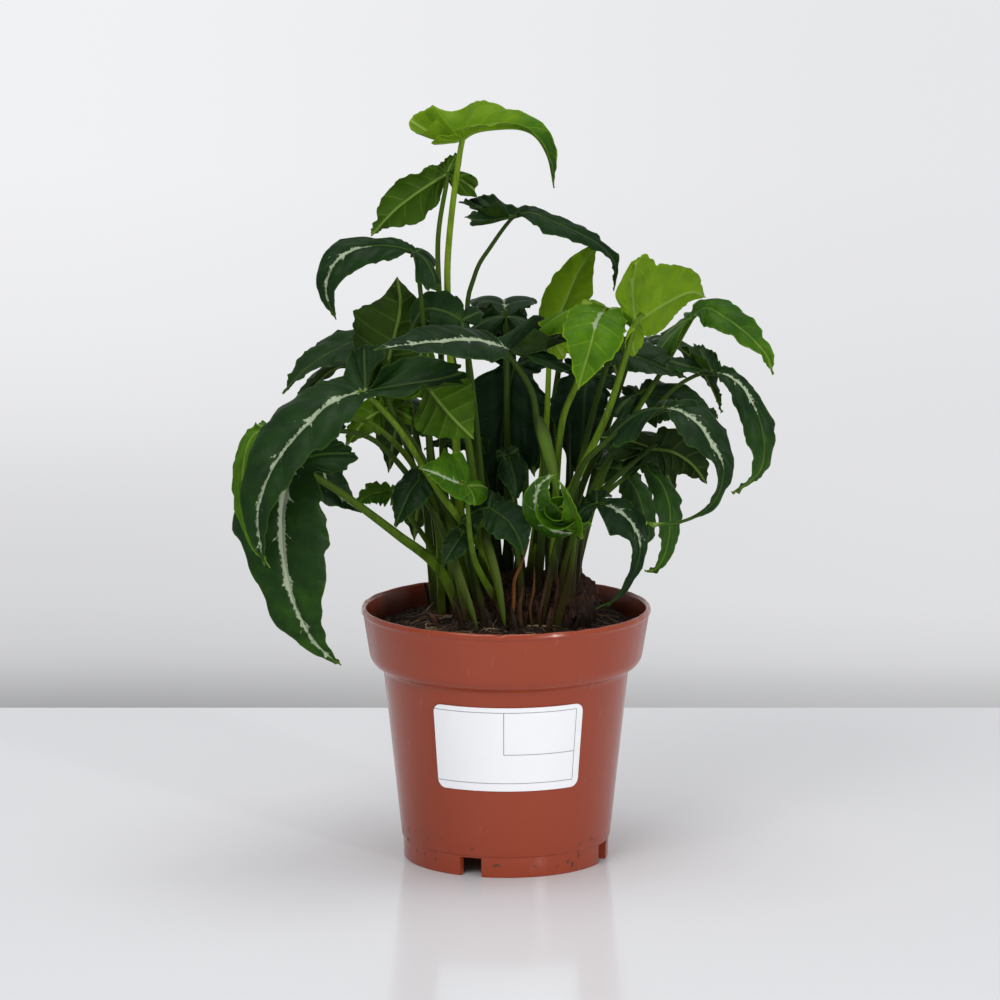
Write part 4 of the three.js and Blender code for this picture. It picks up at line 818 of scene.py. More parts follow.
LEAVES = {  # each with its age, its foot (x, y), its rib from base to tip, and the way that its base faces
    "crown": dict(
        slot="leaf_lime", age=0.1, tip_age=0.95, crisp=0.4, foot=(-16, 8),
        stalk=[(-21, 7, 178), (-24, 6, 232), (-23, 4, 261)],
        rib=[(-18.4, 2, 298.9), (-13.1, -2, 302.6), (-4.5, -5, 304.3), (5.6, -9, 304.6), (12.5, -11, 301.2),
             (17.3, -13, 292.8), (19.4, -13, 280.6)],
        face=(0.05, -0.35, 0.94), fold=38, half=(14, 10.5), lobe=(22, 11), spread=(160, 150),
        droop=(-0.58, -0.25), waist=(1.3, 0.5), slim=(0.6, 0.8), wave=0.8, curl=22,
    ),
    "upper_left": dict(
        slot="leaf_green", age=0.54, foot=(-22, 16), stalk=[(-26, 16, 160), (-27, 15, 219), (-28, 14, 256)],
        rib=[(-24.2, 13, 284), (-31.2, 12, 279.6), (-39.4, 10, 274.1), (-47.2, 8, 267.7), (-55.3, 6, 258.5)],
        face=(-0.3, 0.85, 0.45), half=(9, 10), lobe=(9, 13), spread=(140, 118), droop=(0.1, 0.45), slim=1.4,
        waist=0.5,
    ),
    "left_arch": dict(
        age=0.88, silver=1.2, silver_run=(0.42, 0.9), crisp=0.5, foot=(-25, 4),
        stalk=[(-31, 4, 160), (-33, -2, 209), (-35, -8, 238)],
        rib=[(-37.1, -10, 254.1), (-48, -13, 256.9), (-60.4, -19, 256.5), (-69.2, -23, 251.3),
             (-72.9, -24, 240.9), (-69, -22, 227.9)],
        face=(-0.1, -0.45, 0.9), half=(8.5, 7), lobe=16, spread=135, droop=0.45, twist=-12, slim=1.3,
    ),
    "right_arch": dict(
        age=0.9, foot=(-9, 13), stalk=[(-16, 12, 215), (-13, 12, 241), (-6, 10, 254)],
        rib=[(2.4, 8, 266.5), (10.6, 6, 268), (19.6, 5, 264.4), (29.4, 4, 260), (38, 4, 255),
             (44.6, 4, 247.2), (44.3, 5, 235.9)],
        face=(0, -0.4, 0.9), half=6.8, lobe=(22, 18), spread=155, droop=(-0.35, -0.35), fold=14,
    ),
    "left_upright": dict(
        age=0.78, crisp=0.5, foot=(-18, -3), stalk=[(-31, -4, 160), (-47, -5, 188)],
        rib=[(-49.2, -4, 204.5), (-46, 0, 217.2), (-43.5, 5, 229.3), (-44.8, 9, 241.1)],
        face=(-0.1, 0.95, 0.1), half=(13, 17), lobe=12, spread=100, wave=0.8, slim=1.2,
    ),
    "shade_left": dict(
        age=0.85, foot=(-5, 5), stalk=[(-13, 0, 190)],
        rib=[(-18, -3, 225), (-26, -3, 229), (-34, -2, 229), (-39, -1, 221)],
        face=(-0.1, -0.9, 0.4), fold=4, half=(8, 9), lobe=10,
    ),
    "centre_stripe": dict(
        age=0.93, silver=1.9, crisp=0.5, foot=(12, -6),
        stalk=[(16, -12, 163), (13, -16, 182), (10, -18, 199)],
        rib=[(0, -24, 216), (-13, -34, 221), (-27, -44, 222), (-41, -52, 222), (-53, -57, 221)],
        face=(0, -0.4, 0.9), half=15, lobe=(28, 38), spread=(150, 165), droop=(-0.1, -0.35),
    ),
    "front_left": dict(
        age=0.82, silver=1.3, crisp=0.7, stem=0.3, foot=(-2, -7),
        stalk=[(-7, -12, 127), (-27, -24, 157), (-43, -31, 184)],
        rib=[(-57, -36, 201), (-70.8, -49, 197.8), (-83.7, -60, 186.7), (-91.9, -66, 176.8),
             (-97.5, -69, 164.3), (-99.1, -71, 153.8), (-96.8, -70, 135.7)],
        face=(-0.2, -0.55, 0.8), half=(14, 17), lobe=(42, 28), spread=(150, 130), droop=(-0.22, -0.3),
        waist=0.6,
    ),
    "left_hanging": dict(
        age=0.78, tip_age=0.62, silver=2.1, crisp=0.8, stem=0.45, foot=(-18, -8),
        stalk=[(-28.3, -15, 124.9), (-44.1, -24, 139.5), (-63.4, -34, 156.3), (-76.1, -39, 165.9)],
        rib=[(-85.3, -42, 173), (-89.5, -50, 158.8), (-89.9, -54, 140.7), (-85.9, -55, 118.8),
             (-77.7, -51, 101), (-67, -46, 90)],
        face=(-0.25, -0.93, 0.28), half=(18, 20), lobe=(24, 30), spread=(118, 112), waist=(0.6, 1.1),
        slim=(1, 0.75), girth=2.6,
    ),
    "left_edge_green": dict(
        slot="leaf_green", age=0.35, foot=(-26, -1),
        stalk=[(-30, -9, 150), (-52, -9, 181), (-78, -30, 190)],
        rib=[(-97.6, -44, 187.2), (-103, -50, 183.3), (-105.7, -54, 171.8), (-105.3, -57, 156.8),
             (-101.2, -60, 143.1), (-94.8, -62, 133.3)],
        face=(-0.5, -0.8, 0.3), half=5, lobe=6, spread=100,
    ),
    "back_left_crinkled": dict(
        age=0.8, crisp=0.9, foot=(-29, 13), stalk=[(-35, 17, 160), (-44, 18, 202)],
        rib=[(-49.9, 14, 217.1), (-66.3, 8, 213), (-81.3, 0, 205.1), (-91.4, -6, 194.9)],
        face=(-0.1, -0.3, 0.95), half=(13, 12), lobe=16, wave=2.4, waves=3,
    ),
    "left_inner": dict(
        age=0.85, silver=0.9, foot=(-15, -13), stalk=[(-27, -14, 142), (-52, -16, 176)],
        rib=[(-74, -20, 182), (-75, -24, 171), (-72, -24, 160), (-59, -20, 148)],
        face=(0.5, -0.85, 0.1), half=10, lobe=14,
    ),
    "inner_bright": dict(
        slot="leaf_green", age=0.35, foot=(-13, 2), stalk=[(-28, 8, 150)],
        rib=[(-48, 6, 188), (-58, 2, 183), (-66, -2, 172)],
        face=(0.2, 0.8, 0.5), half=9, lobe=12,
    ),
    "centre_green": dict(
        slot="leaf_green", age=0.47, crisp=0.5, foot=(-8, 0), stalk=[(-11, -5, 140), (-18, -10, 185)],
        rib=[(-32.7, -16, 200.6), (-27.7, -21, 194.9), (-20.8, -25, 187.3), (-13.1, -28, 180)],
        face=(-0.3, 0.8, 0.5), half=(15, 15), lobe=(16, 14), curl=24, slim=1.1,
    ),
    "front_fold": dict(
        slot="leaf_green", age=0.42, silver=0.8, silver_run=(0.25, 1), crisp=0.5, foot=(1, -16),
        stalk=[(-13, -30, 131)],
        rib=[(-15.9, -38, 162.4), (-21.9, -43, 165.3), (-28.3, -46, 168.7), (-35.2, -45, 171)],
        face=(-0.1, -0.75, 0.65), half=(8, 17), lobe=(8, 18), spread=(120, 160), waist=(0.5, 0.9),
    ),
    "unrolling": dict(
        slot="leaf_green", age=0.52, silver=1.5, crisp=0.4, stem=0.8, foot=(22, -9), stalk=[(23, -20, 123)],
        rib=[(27.2, -32, 142.3), (20.6, -37, 144.1), (14.5, -42, 150), (12, -45, 157.9), (14, -44, 164.3),
             (20.1, -40, 167.7)],
        face=(-0.3, -0.7, -0.6), half=(7.6, 10.5), lobe=8, wave=0.6,
    ),
    "unrolling_heart": dict(
        slot="leaf_green", age=0.36, crisp=0.4, stem=0.6, foot=(21, -20), stalk=[(26, -28, 124)],
        rib=[(27.8, -44, 145.4), (27.2, -56.5, 155.1), (24.7, -60, 163.1), (20.8, -58, 168.4)],
        face=(-0.3, -0.85, 0.1), fold=40, half=5.5, lobe=5, spread=110, wave=0.5,
    ),
    "lime_upright": dict(
        slot="leaf_lime", age=0, crisp=0.4, foot=(8, 18), stalk=[(16, 18, 168)],
        rib=[(18, 20, 216), (24, 20, 229), (30, 17, 243), (38, 12, 256)],
        face=(-0.3, 0.85, 0.4), half=11, lobe=(12, 14), wave=0.6,
    ),
    "young_stripe": dict(
        slot="leaf_lime", age=0.26, silver=1.0, silver_run=(0, 0.45), tip_age=0.3, crisp=0.8, foot=(18, 1),
        stalk=[(22, -5, 176), (29, -9, 200)],
        rib=[(41, -12, 231), (37, -22, 228), (34, -30, 218), (29, -33, 201)],
        face=(-0.1, -0.8, 0.6), half=13, lobe=(14, 28), spread=(110, 65), droop=0.3,
    ),
    "lime_round": dict(
        slot="leaf_lime", age=0.06, crisp=0.4, stem=0.3, foot=(18, -7),
        stalk=[(22, -14, 144), (41, -22, 189)],
        rib=[(52.1, -26, 228.1), (57.5, -22, 230.8), (65.8, -14, 234.5), (75.1, -5, 236.9), (81.6, 5, 233.4)],
        face=(-0.5, 0.75, 0.4), half=(14, 21.5), lobe=(15, 31), spread=(105, 86), droop=(0.2, 0),
        waist=(0.5, 1.4), slim=(1, 0.8), curl=30, wave=0.5, girth=2.6,
    ),
    "right_arch_green": dict(
        slot="leaf_green", age=0.5, tip_age=0.35, crisp=0.9, foot=(24, 12),
        stalk=[(41, 13, 160), (66, 18.5, 203)],
        rib=[(75.8, 14, 223), (82.2, 10, 228.1), (90.7, 4, 224.4), (99.1, 0, 218.4), (106.4, -4, 210.7),
             (109.2, -6, 202.8)],
        face=(0, -0.4, 0.9), half=(8.5, 7.5), lobe=(24, 26), spread=(162, 160), droop=0.1,
    ),
    "right_ribbon": dict(
        age=0.88, tip_age=0.4, silver=0.9, silver_run=(0.1, 0.42), crisp=1.0, foot=(27, 3),
        stalk=[(36, 1, 155), (64, -5, 192), (77, -10, 203)],
        rib=[(84.4, -12, 205), (91.1, -18, 203.9), (96.3, -21, 199.8), (99.9, -23, 194),
             (103.2, -24, 186.3), (104.9, -24, 176), (102.7, -22, 164.9), (92.3, -19, 156)],
        face=(0, -0.35, 0.93), half=(5.8, 7), lobe=(16, 20), twist=10, droop=(-0.4, -0.2),
        spread=(150, 160), slim=1.3,
    ),
    "front_right": dict(
        age=0.92, tip_age=0.55, silver=1.0, silver_run=(0.05, 0.5), crisp=1.0, foot=(13, -15),
        stalk=[(27, -24, 158), (38, -30, 177)],
        rib=[(63.4, -36, 194.1), (70.4, -43, 193.6), (77.1, -49, 189.7), (82.2, -53, 182.6),
             (87.1, -53, 172.9), (84.9, -50, 160.5), (77.8, -46, 152.3), (67.9, -43, 148.1),
             (56.6, -42, 147.9)],
        face=(0, -0.45, 0.9), half=(10, 9.5), lobe=(20, 26), spread=(120, 140), slim=0.5,
    ),
    "right_behind": dict(
        age=0.85, foot=(19, 15), stalk=[(33, 26, 154)],
        rib=[(54.9, 26, 189.7), (68.2, 26, 187.6), (79.3, 24, 183.7), (88, 22, 180.2)],
        face=(0, -0.4, 0.9), half=(14, 15), lobe=(9, 16),
    ),
    "right_shade": dict(
        age=0.85, crisp=0.6, foot=(21.5, 6.5), stalk=[(30, 8, 160)],
        rib=[(43.6, 8, 211), (55.1, 5, 208.1), (65.3, 2, 204), (74.3, 0, 200.6)],
        face=(0, -0.5, 0.85), half=(12, 9), lobe=8,
    ),
    "right_under": dict(
        age=1.0, foot=(22.5, -3), stalk=[(32, -9, 145)],
        rib=[(59, -14, 174), (68, -17, 173), (76, -19, 168), (82, -20, 160)],
        face=(-0.2, 0.9, 0.3), half=12, lobe=(14, 20), spread=(150, 165),
    ),
    "low_right": dict(
        age=0.95, silver=0.8, silver_run=(0.1, 0.5), foot=(26, -13), stalk=[(29, -17, 136)],
        rib=[(37, -26, 153.2), (45, -32, 151.4), (52.3, -36, 144.7), (54.3, -37, 135), (50.3, -36, 123.2),
             (43.9, -34, 114.5), (36.7, -31, 110.1)],
        face=(0, -0.7, 0.7), half=(7, 9), lobe=13, slim=0.45,
    ),
    "right_hanging": dict(
        age=0.7, tip_age=0.45, foot=(27.5, -2), stalk=[(33, -3, 142)],
        rib=[(55, -5, 165), (63, -9, 159), (67, -12, 148), (66, -13, 133), (62, -13, 124), (57, -12, 122)],
        face=(0.4, -0.6, 0.6), half=7, lobe=9,
    ),
    "right_low_back": dict(
        age=0.72, foot=(28, 16), stalk=[(31, 18, 142)],
        rib=[(48, 19, 159), (55, 17, 148), (58, 14, 133), (54, 12, 123)],
        face=(0.5, -0.6, 0.5), half=8, lobe=11,
    ),
    "left_low_dark": dict(
        age=0.92, foot=(-10, -9), stalk=[(-19, -13, 137)],
        rib=[(-33, -18, 164), (-38, -23, 159), (-42, -26, 151), (-45, -26, 143)],
        face=(-0.3, -0.8, 0.4), half=8, lobe=7, spread=105,
    ),
    "left_low_green": dict(
        slot="leaf_green", age=0.42, foot=(-20, 1), stalk=[(-30, 0, 128)],
        rib=[(-47, -8, 154), (-55, -10, 154), (-62, -11, 149)],
        face=(0, -0.5, 0.8), half=7, lobe=8,
    ),
    "centre_low_dark": dict(
        age=0.92, foot=(7, -14), stalk=[(4, -22, 133)],
        rib=[(-7, -28, 151.5), (0.3, -34, 147.6), (4.8, -37, 141.2), (7.2, -38, 133.5)],
        face=(0.2, -0.8, 0.5), half=9, lobe=12,
    ),
    "centre_shade": dict(
        age=0.92, foot=(-3, 19), stalk=[(-6, 20, 140)],
        rib=[(-11.6, 22, 170.1), (-19.1, 21, 171.1), (-27.4, 21, 169.9), (-34.1, 20, 167.5)],
        face=(0, -0.6, 0.8), half=5, lobe=6,
    ),
    "centre_shadow": dict(
        age=0.92, foot=(8, 4), stalk=[(5, 6, 138)],
        rib=[(0.8, 6, 167.4), (2.9, 3, 161.3), (4.1, 1, 154.9), (2.9, 1, 148.6)],
        face=(0, -0.9, 0.3), half=6, lobe=5, spread=105,
    ),
    "small_low_dark": dict(
        age=0.95, foot=(-9, -18), stalk=[(-13, -22, 125)],
        rib=[(-17, -24, 141), (-21, -30, 136), (-26, -33, 128)],
        face=(-0.2, -0.8, 0.5), half=6, lobe=5, spread=100,
    ),
    "back_high": dict(
        age=0.9, silver=0.5, crisp=1.2, foot=(1, 22.6),
        rib=[(0, 26, 222), (-1, 42, 226.8), (-2.1, 60, 219.9), (-2.9, 74, 199.9)],
        face=(0, 0.3, 0.95), half=14, lobe=(20, 16), spread=110,
    ),
    "back_high_left": dict(
        age=0.84, silver=1.1, foot=(-8, 27),
        rib=[(-24, 38, 214), (-35, 47, 216), (-44, 58, 207), (-50, 68, 190)],
        face=(0, 0.3, 0.95), half=13, lobe=16,
    ),
    "back_high_right": dict(
        age=0.8, silver=1.1, foot=(11, 26),
        rib=[(24, 42, 212), (33, 52, 215), (42, 63, 205), (48, 73, 188)],
        face=(0, 0.3, 0.95), half=13, lobe=16,
    ),
    "back_middle": dict(
        age=1.0, crisp=1.0, foot=(1, 30),
        rib=[(4, 31, 201), (1, 29, 190), (-2, 28.5, 170), (-4, 29, 150), (-4, 30, 138)],
        face=(0, -0.95, 0.3), fold=6, curl=12, half=(18, 16), lobe=(17, 19), wave=2.4, slim=1.15,
    ),
    "back_middle_left": dict(
        age=0.86, silver=1.3, foot=(-16, 28),
        rib=[(-28, 40, 178), (-38, 54, 182), (-46, 66, 170), (-50, 74, 148)],
        face=(0, 0.4, 0.9), half=13, lobe=20,
    ),
    "back_middle_right": dict(
        age=1.0, crisp=1.0, foot=(19.5, 26),
        rib=[(35, 33, 197), (33, 29, 190), (32, 27, 174), (30, 28, 154)],
        face=(0, -0.95, 0.3), fold=6, curl=12, half=(10.5, 14), lobe=(12, 12), spread=105, wave=2.4,
    ),
    "back_right_side": dict(
        age=0.82, silver=1.1, foot=(26, 21), stalk=[(37, 28, 156)],
        rib=[(52, 36, 206), (66, 43.5, 210), (81, 48, 199), (91, 50, 178)],
        face=(0.2, 0.2, 0.95), half=13, lobe=14,
    ),
    "back_left_side": dict(
        age=0.84, silver=1.0, foot=(-24, 24),
        rib=[(-52, 26, 198), (-66, 32, 202), (-80, 36, 192), (-88, 38, 170)],
        face=(-0.2, 0.2, 0.95), half=12, lobe=18,
    ),
    "back_centre": dict(
        age=0.78, silver=1.4, foot=(3, 37), stalk=[(8, 45, 135)],
        rib=[(8, 53, 170), (10, 61, 174), (11, 70, 164), (12, 76, 146)],
        face=(0, 0.4, 0.9), half=14, lobe=18,
    ),
    "back_right_low": dict(
        age=0.86, silver=1.2, foot=(25.5, 28),
        rib=[(42, 44, 162), (53, 52, 167), (64, 60, 158), (72, 66, 140)],
        face=(0.2, 0.4, 0.9), half=13, lobe=15,
    ),
    "back_low": dict(
        age=0.7, silver=1.0, foot=(-6, 33),
        rib=[(-8, 48, 144), (-10, 59, 147), (-12, 69, 139), (-12, 75, 122)],
        face=(0, 0.4, 0.9), half=11, lobe=12,
    ),
    "back_low_left": dict(
        age=0.74, silver=1.0, foot=(-22, 32),
        rib=[(-24, 42, 138), (-31, 51, 142), (-37, 60, 136), (-39, 66, 120)],
        face=(-0.1, 0.4, 0.9), half=10, lobe=13,
    ),
    "back_low_right": dict(
        age=0.8, silver=1.0, foot=(18, 32),
        rib=[(17, 42, 140), (22, 52, 144), (27, 60, 138), (30, 66, 120)],
        face=(0.1, 0.4, 0.9), half=9, lobe=9,
    ),
}
MARKS = ("age", "under", "silver", "rib", "vein", "margin", "stalk", "run")  # each vertex carries these
LOBE_EDGE = [  # shares of the side lobe's length and of its half width
    (0.16, -0.3), (0.5, -1), (0.86, -0.62), (1, 0), (0.86, 0.62), (0.5, 0.95),
]
LOBE_LEAST, LOBE_WIDENS = 2.5, 0.2  # half its width, and how much more for each millimetre of length
TAPER = [  # shares of the blade's length, of its half width, and of the length where the vein to there starts
    (0.46, 0.94, 0.31), (0.64, 0.7, 0.51), (0.81, 0.38, 0.72), (0.93, 0.13, 0.89), (1, 0, 1),
]
LOBE_END = len(LOBE_EDGE) - 1  # a place on the outline is counted in its points, and the lobe ends here
OUTLINE_END = LOBE_END + 3 + len(TAPER)
BLADE_COLUMNS = 14  # on either side of the rib
BLADE_ROWS = (6, 8)  # to a point of the outline, on a short and a long blade
LONG_BLADE = 42
SIDES_APART = 7  # keeps the noise of the blade's two sides apart
BROAD_CRINKLE, BROAD_WAVES = 2, 1.9  # height, waves to a point of the outline
FINE_CRINKLE, FINE_WAVES = 1.5, 4.1
RAGGED, RAGGED_WAVES = 0.2, 2.3
NO_SILVER = 9
SILVER_FADE = 12  # how fast the silver narrows past the ends of its run
FEATHER, FEATHER_FADE = 0.45, 0.22  # on a side vein: share of the band's half width, loss to a millimetre
LOBE_SILVER, LOBE_FADE = 0.3, 8  # on a side lobe: the same share, and the loss over its whole length
BLADE_MIDDLE = 0.28  # half the thickness, at the midrib and at the margin
BLADE_MARGIN = 0.13
GROOVE_WIDTH, GROOVE_DEPTH = 0.8, 0.3  # of the channel over the midrib
KEEL_WIDTH, KEEL_HEIGHT, LOBE_KEEL = 0.75, 1.1, 0.55  # of the rib below, and its share on a lobe
VEIN_WIDTH, VEIN_DEPTH, VEIN_HEIGHT = 0.55, 0.13, 0.2  # above and below
PILLOW_SLOPE, PILLOW_MOST = 0.14, 0.8  # how the blade swells between its veins


def half_outline(length, half, lobe, spread, waist, slim):
    """Half a blade's outline, round its lobe and to the tip: (along the rib, out from it, vein's start)."""
    cos, sin = math.cos(math.radians(spread)), math.sin(math.radians(spread))
    wide = LOBE_LEAST + lobe * LOBE_WIDENS
    shoulder = [(0.04, waist, 0.01), (0.14, max(0.84, waist), 0.04), (0.29, 1, 0.15)]
    sides = shoulder + [(ahead, width * slim, vein) for ahead, width, vein in TAPER]
    return [
        Vector((lobe * far * cos + wide * across * sin, lobe * far * sin - wide * across * cos, 0))
        for far, across in LOBE_EDGE
    ] + [Vector((ahead * length, width * half, vein * length)) for ahead, width, vein in sides]


def across_blade(edge, out):
    """The plan point at a share of the way out from the rib to the margin."""
    return Vector((edge.z + (edge.x - edge.z) * out, edge.y * out))


class Blade:
    """One leaf's blade: its rib, its outline on either side, and how the plan is bent into place."""

    def __init__(self, look, seed):
        self.look = look
        self.seed = seed
        self.rib = Line(look["rib"], look["face"], look["twist"], 48)
        self.length = self.rib.length
        shape = [look[key] for key in ("half", "lobe", "spread", "waist", "slim")]
        self.plans = [half_outline(self.length, *one_side) for one_side in zip(*shape)]

    def bent(self, plan, hand, t, out):
        """Where a plan point comes to lie, with the fold, curl, droop and waves of the living leaf."""
        look, side = self.look, (1, -1)[hand]
        x, y = plan
        half = look["half"][hand]
        fold, curl = math.radians(look["fold"]), math.radians(look["curl"]) / half
        flat = min(y, half)
        slope = fold - curl * flat
        across = (math.sin(fold) - math.sin(slope)) / curl + (y - flat) * math.cos(slope)
        rise = (math.cos(slope) - math.cos(fold)) / curl + (y - flat) * math.sin(slope)
        lobe_share = max(0, min(1, LOBE_END + 1 - t))
        edge_share = max(0, t - LOBE_END) / (OUTLINE_END - LOBE_END)
        rise -= look["droop"][hand] * look["lobe"][hand] * (lobe_share * out) ** 2
        fading = math.sin(math.pi * min(1, edge_share * 1.6 + 0.1))
        rise += look["wave"] * out ** 2 * math.sin(math.tau * look["waves"] * edge_share) * fading
        row = SIDES_APART * hand
        crinkle = BROAD_CRINKLE * noise.noise(Vector((t * BROAD_WAVES, row + 0.4 * out, self.seed)))
        crinkle += FINE_CRINKLE * out ** 3 * noise.noise(Vector((t * FINE_WAVES, row, self.seed + 0.5)))
        rise += look["crisp"] * out ** 3 * crinkle
        at, ahead, up, right = self.rib.frame(x / self.length)
        return at + ahead * min(0, x) + right * across * side + up * rise

    def marks(self, plan, hand, t, out, edge):
        """Distances on the plan to the midribs, the silver, the nearest side vein and the margin."""
        x, y = plan
        turn, lobe = math.radians(self.look["spread"][hand]), self.look["lobe"][hand]
        down_lobe = x * math.cos(turn) + y * math.sin(turn)
        lobe_gap = math.hypot(x, y) + 0.3
        if 0 < down_lobe < lobe:
            lobe_gap = abs(x * math.sin(turn) - y * math.cos(turn))
        main_gap = y if x >= 0 else math.hypot(x, y)
        vein = min(OUTLINE_END - 1, max(1, round(t)))
        vein_gap = (across_blade(along(self.plans[hand], vein), out) - plan).length
        run, lobe_run = (max(0, min(1, share)) for share in (x / self.length, down_lobe / lobe))
        silver = self.silver_gap(run, lobe_run, main_gap, lobe_gap, vein_gap)
        margin = (1 - out) * math.hypot(edge.x - edge.z, edge.y)
        return dict(rib=min(main_gap, lobe_gap), vein=vein_gap, silver=silver, margin=margin, run=run)

    def silver_gap(self, run, lobe_run, main_gap, lobe_gap, vein_gap):
        """How far a point lies from the silver: band, feathers on the veins and trace on the lobes."""
        half, (start, end) = self.look["silver"], self.look["silver_run"]
        if half == 0:
            return NO_SILVER
        band = half * min(1, 0.45 + 3 * run) * (1 - run) ** 0.7
        outside = SILVER_FADE * (max(0, start - run) + max(0, run - end + 0.08))
        gap = min(main_gap - band, vein_gap - (FEATHER * band - FEATHER_FADE * main_gap)) + outside
        return min(gap, lobe_gap - LOBE_SILVER * half + LOBE_FADE * lobe_run + SILVER_FADE * start)


def face_heights(plan, out, marks):
    """How far the upper and the lower face stand off the middle of the blade."""
    rib, vein_gap, margin = marks["rib"], marks["vein"], marks["margin"]
    thick = BLADE_MIDDLE + (BLADE_MARGIN - BLADE_MIDDLE) * out ** 3
    groove = GROOVE_DEPTH * bell(rib, GROOVE_WIDTH) * (1 - out)
    keel = KEEL_HEIGHT * (1 - marks["run"]) ** 0.7 * bell(rib, KEEL_WIDTH) * (LOBE_KEEL if plan.x < 0 else 1)
    vein = bell(vein_gap, VEIN_WIDTH) * min(1, rib / 1.5) * min(1, margin / 1.5)
    pillow = min(PILLOW_MOST, PILLOW_SLOPE * vein_gap) * min(1, margin / 4) * min(1, rib / 3)
    return thick + pillow - groove - VEIN_DEPTH * vein, thick - pillow + keel + VEIN_HEIGHT * vein


def shape_blade(bm, blade):
    """Fills an empty bmesh with the blade, both faces and the margin between them."""
    look = blade.look
    layers = {key: bm.verts.layers.float.new(key) for key in MARKS}
    number = bm.verts.layers.int.new("number")
    rows = OUTLINE_END * BLADE_ROWS[blade.length > LONG_BLADE]
    bmesh.ops.create_grid(bm, x_segments=2 * BLADE_COLUMNS, y_segments=rows, size=1)
    tip_change = 0 if look["tip_age"] is None else look["tip_age"] - look["age"]
    faces = []
    for index, vertex in enumerate(bm.verts):
        hand = 0 if vertex.co.x >= 0 else 1
        t, out = OUTLINE_END * (1 - vertex.co.y) / 2, abs(vertex.co.x) ** 1.3
        edge = along(blade.plans[hand], t)
        tear = noise.noise(Vector((t * RAGGED_WAVES, 3 + hand, blade.seed + 0.5)))
        plan = across_blade(edge, out * (1 + RAGGED * look["crisp"] * out ** 4 * tear))
        marks = blade.marks(plan, hand, t, out, edge)
        marks["age"] = look["age"] + tip_change * max(0, marks["run"] * 1.6 - 0.6)
        for key, value in marks.items():
            vertex[layers[key]] = value
        vertex[number] = index
        vertex.co = blade.bent(plan, hand, t, out)
        faces.append(face_heights(plan, out, marks))
    bmesh.ops.remove_doubles(bm, verts=bm.verts, dist=0.004)
    upper = thickened(bm, faces)
    for vertex in bm.verts:
        vertex[layers["under"]] = vertex not in upper


FOOT_HEIGHT = 91  # a stalk starts under the top of the soil
FOOT_RISE = 14  # how far it climbs before it takes its own way
NECK_DEPTH = 0.8  # how far the stalk's end lies under the blade
NECK_REACH = 5  # how far it runs on along the midrib
TIP_DEPTH = 0.5
TIP_RADIUS, TIP_WIDENS = 0.45, 0.05  # and how much more for each millimetre of the blade's half width
CHANNEL_WIDTH, CHANNEL_DEPTH = 34, 0.20  # along its upper side: half width in degrees, share of the radius
WING_ANGLE, WING_WIDTH, WING_HEIGHT = 52, 20, 0.32  # the sheath's edges on either side of the channel


def shape_stalk(bm, blade):
    """Adds the stalk, from the soil to the blade's neck and a little way along under its midrib."""
    look = blade.look
    at, _, up, _ = blade.rib.frame(0)
    neck = at - up * NECK_DEPTH
    at, _, up, _ = blade.rib.frame(NECK_REACH / blade.length)
    foot = Vector((*look["foot"], FOOT_HEIGHT))
    reach = neck - foot
    middle = look["stalk"] or [foot + Vector((0.42 * reach.x, 0.42 * reach.y, 0.56 * reach.z))]
    lean = Vector(middle[0]) - foot
    emerging = foot + Vector((0.12 * lean.x, 0.12 * lean.y, FOOT_RISE))
    line = Line([foot, emerging, *middle, neck, at - up * TIP_DEPTH], (0, -1, 0.1), count=60)
    neck_share = 1 - NECK_REACH / line.length
    girth = look["girth"]
    tip = TIP_RADIUS + look["half"][0] * TIP_WIDENS

    def radius(share, angle):
        up_stalk = min(1, share / neck_share)
        size = girth + (tip - girth) * up_stalk ** 0.7
        if share > neck_share:
            size *= 1 - 0.6 * (share - neck_share) / (1 - neck_share)
        off_top = angle_between(math.degrees(angle), 90)
        channel = CHANNEL_DEPTH * bell(off_top, CHANNEL_WIDTH) * (1 - up_stalk ** 3)
        sheath = max(0, min(1, (0.55 - share) * 4)) * min(1, share * 9)
        wing = WING_HEIGHT * sheath * bell(off_top - WING_ANGLE, WING_WIDTH)
        return size * (1 - channel + wing)

    age, stalk, run = (bm.verts.layers.float[key] for key in ("age", "stalk", "run"))
    stem_age = look["age"] if look["stem"] is None else look["stem"]
    for vertex, share in add_tube(bm, line, 16, max(24, round(line.length / 3.2)), radius):
        vertex[age], vertex[stalk], vertex[run] = stem_age, 1, share


UPPER = [  # the blade's colours by age, above and below
    (0.0, (0.20, 0.35, 0.008)), (0.25, (0.085, 0.21, 0.005)), (0.5, (0.030, 0.095, 0.005)),
    (0.75, (0.0125, 0.042, 0.006)), (1.0, (0.006, 0.021, 0.006)),
]
UNDER = [
    (0.0, (0.21, 0.36, 0.010)), (0.25, (0.105, 0.22, 0.007)), (0.5, (0.055, 0.125, 0.006)),
    (0.75, (0.030, 0.068, 0.005)), (1.0, (0.012, 0.026, 0.004)),
]
UPPER_CELLS = [(age, [0.55 * part for part in colour]) for age, colour in UPPER]
UNDER_CELLS = (0.02, 0.05, 0.006)
UNDER_VEINS = (0.20, 0.34, 0.05)
UNDER_RIB = (0.26, 0.40, 0.07)
UPPER_RIB = [(0, (0.42, 0.55, 0.10)), (0.5, (0.20, 0.32, 0.05)), (1, (0.12, 0.20, 0.05))]
SILVER = (0.44, 0.52, 0.35)
STEM = [(0, (0.17, 0.28, 0.012)), (0.45, (0.060, 0.115, 0.006)), (1, (0.024, 0.050, 0.005))]
STEM_SHEATH = (0.095, 0.13, 0.010)
STEM_STREAKS = (0.022, 0.035, 0.005)
STEM_FOOT_SHADE = (0.028, 0.015, 0.006)
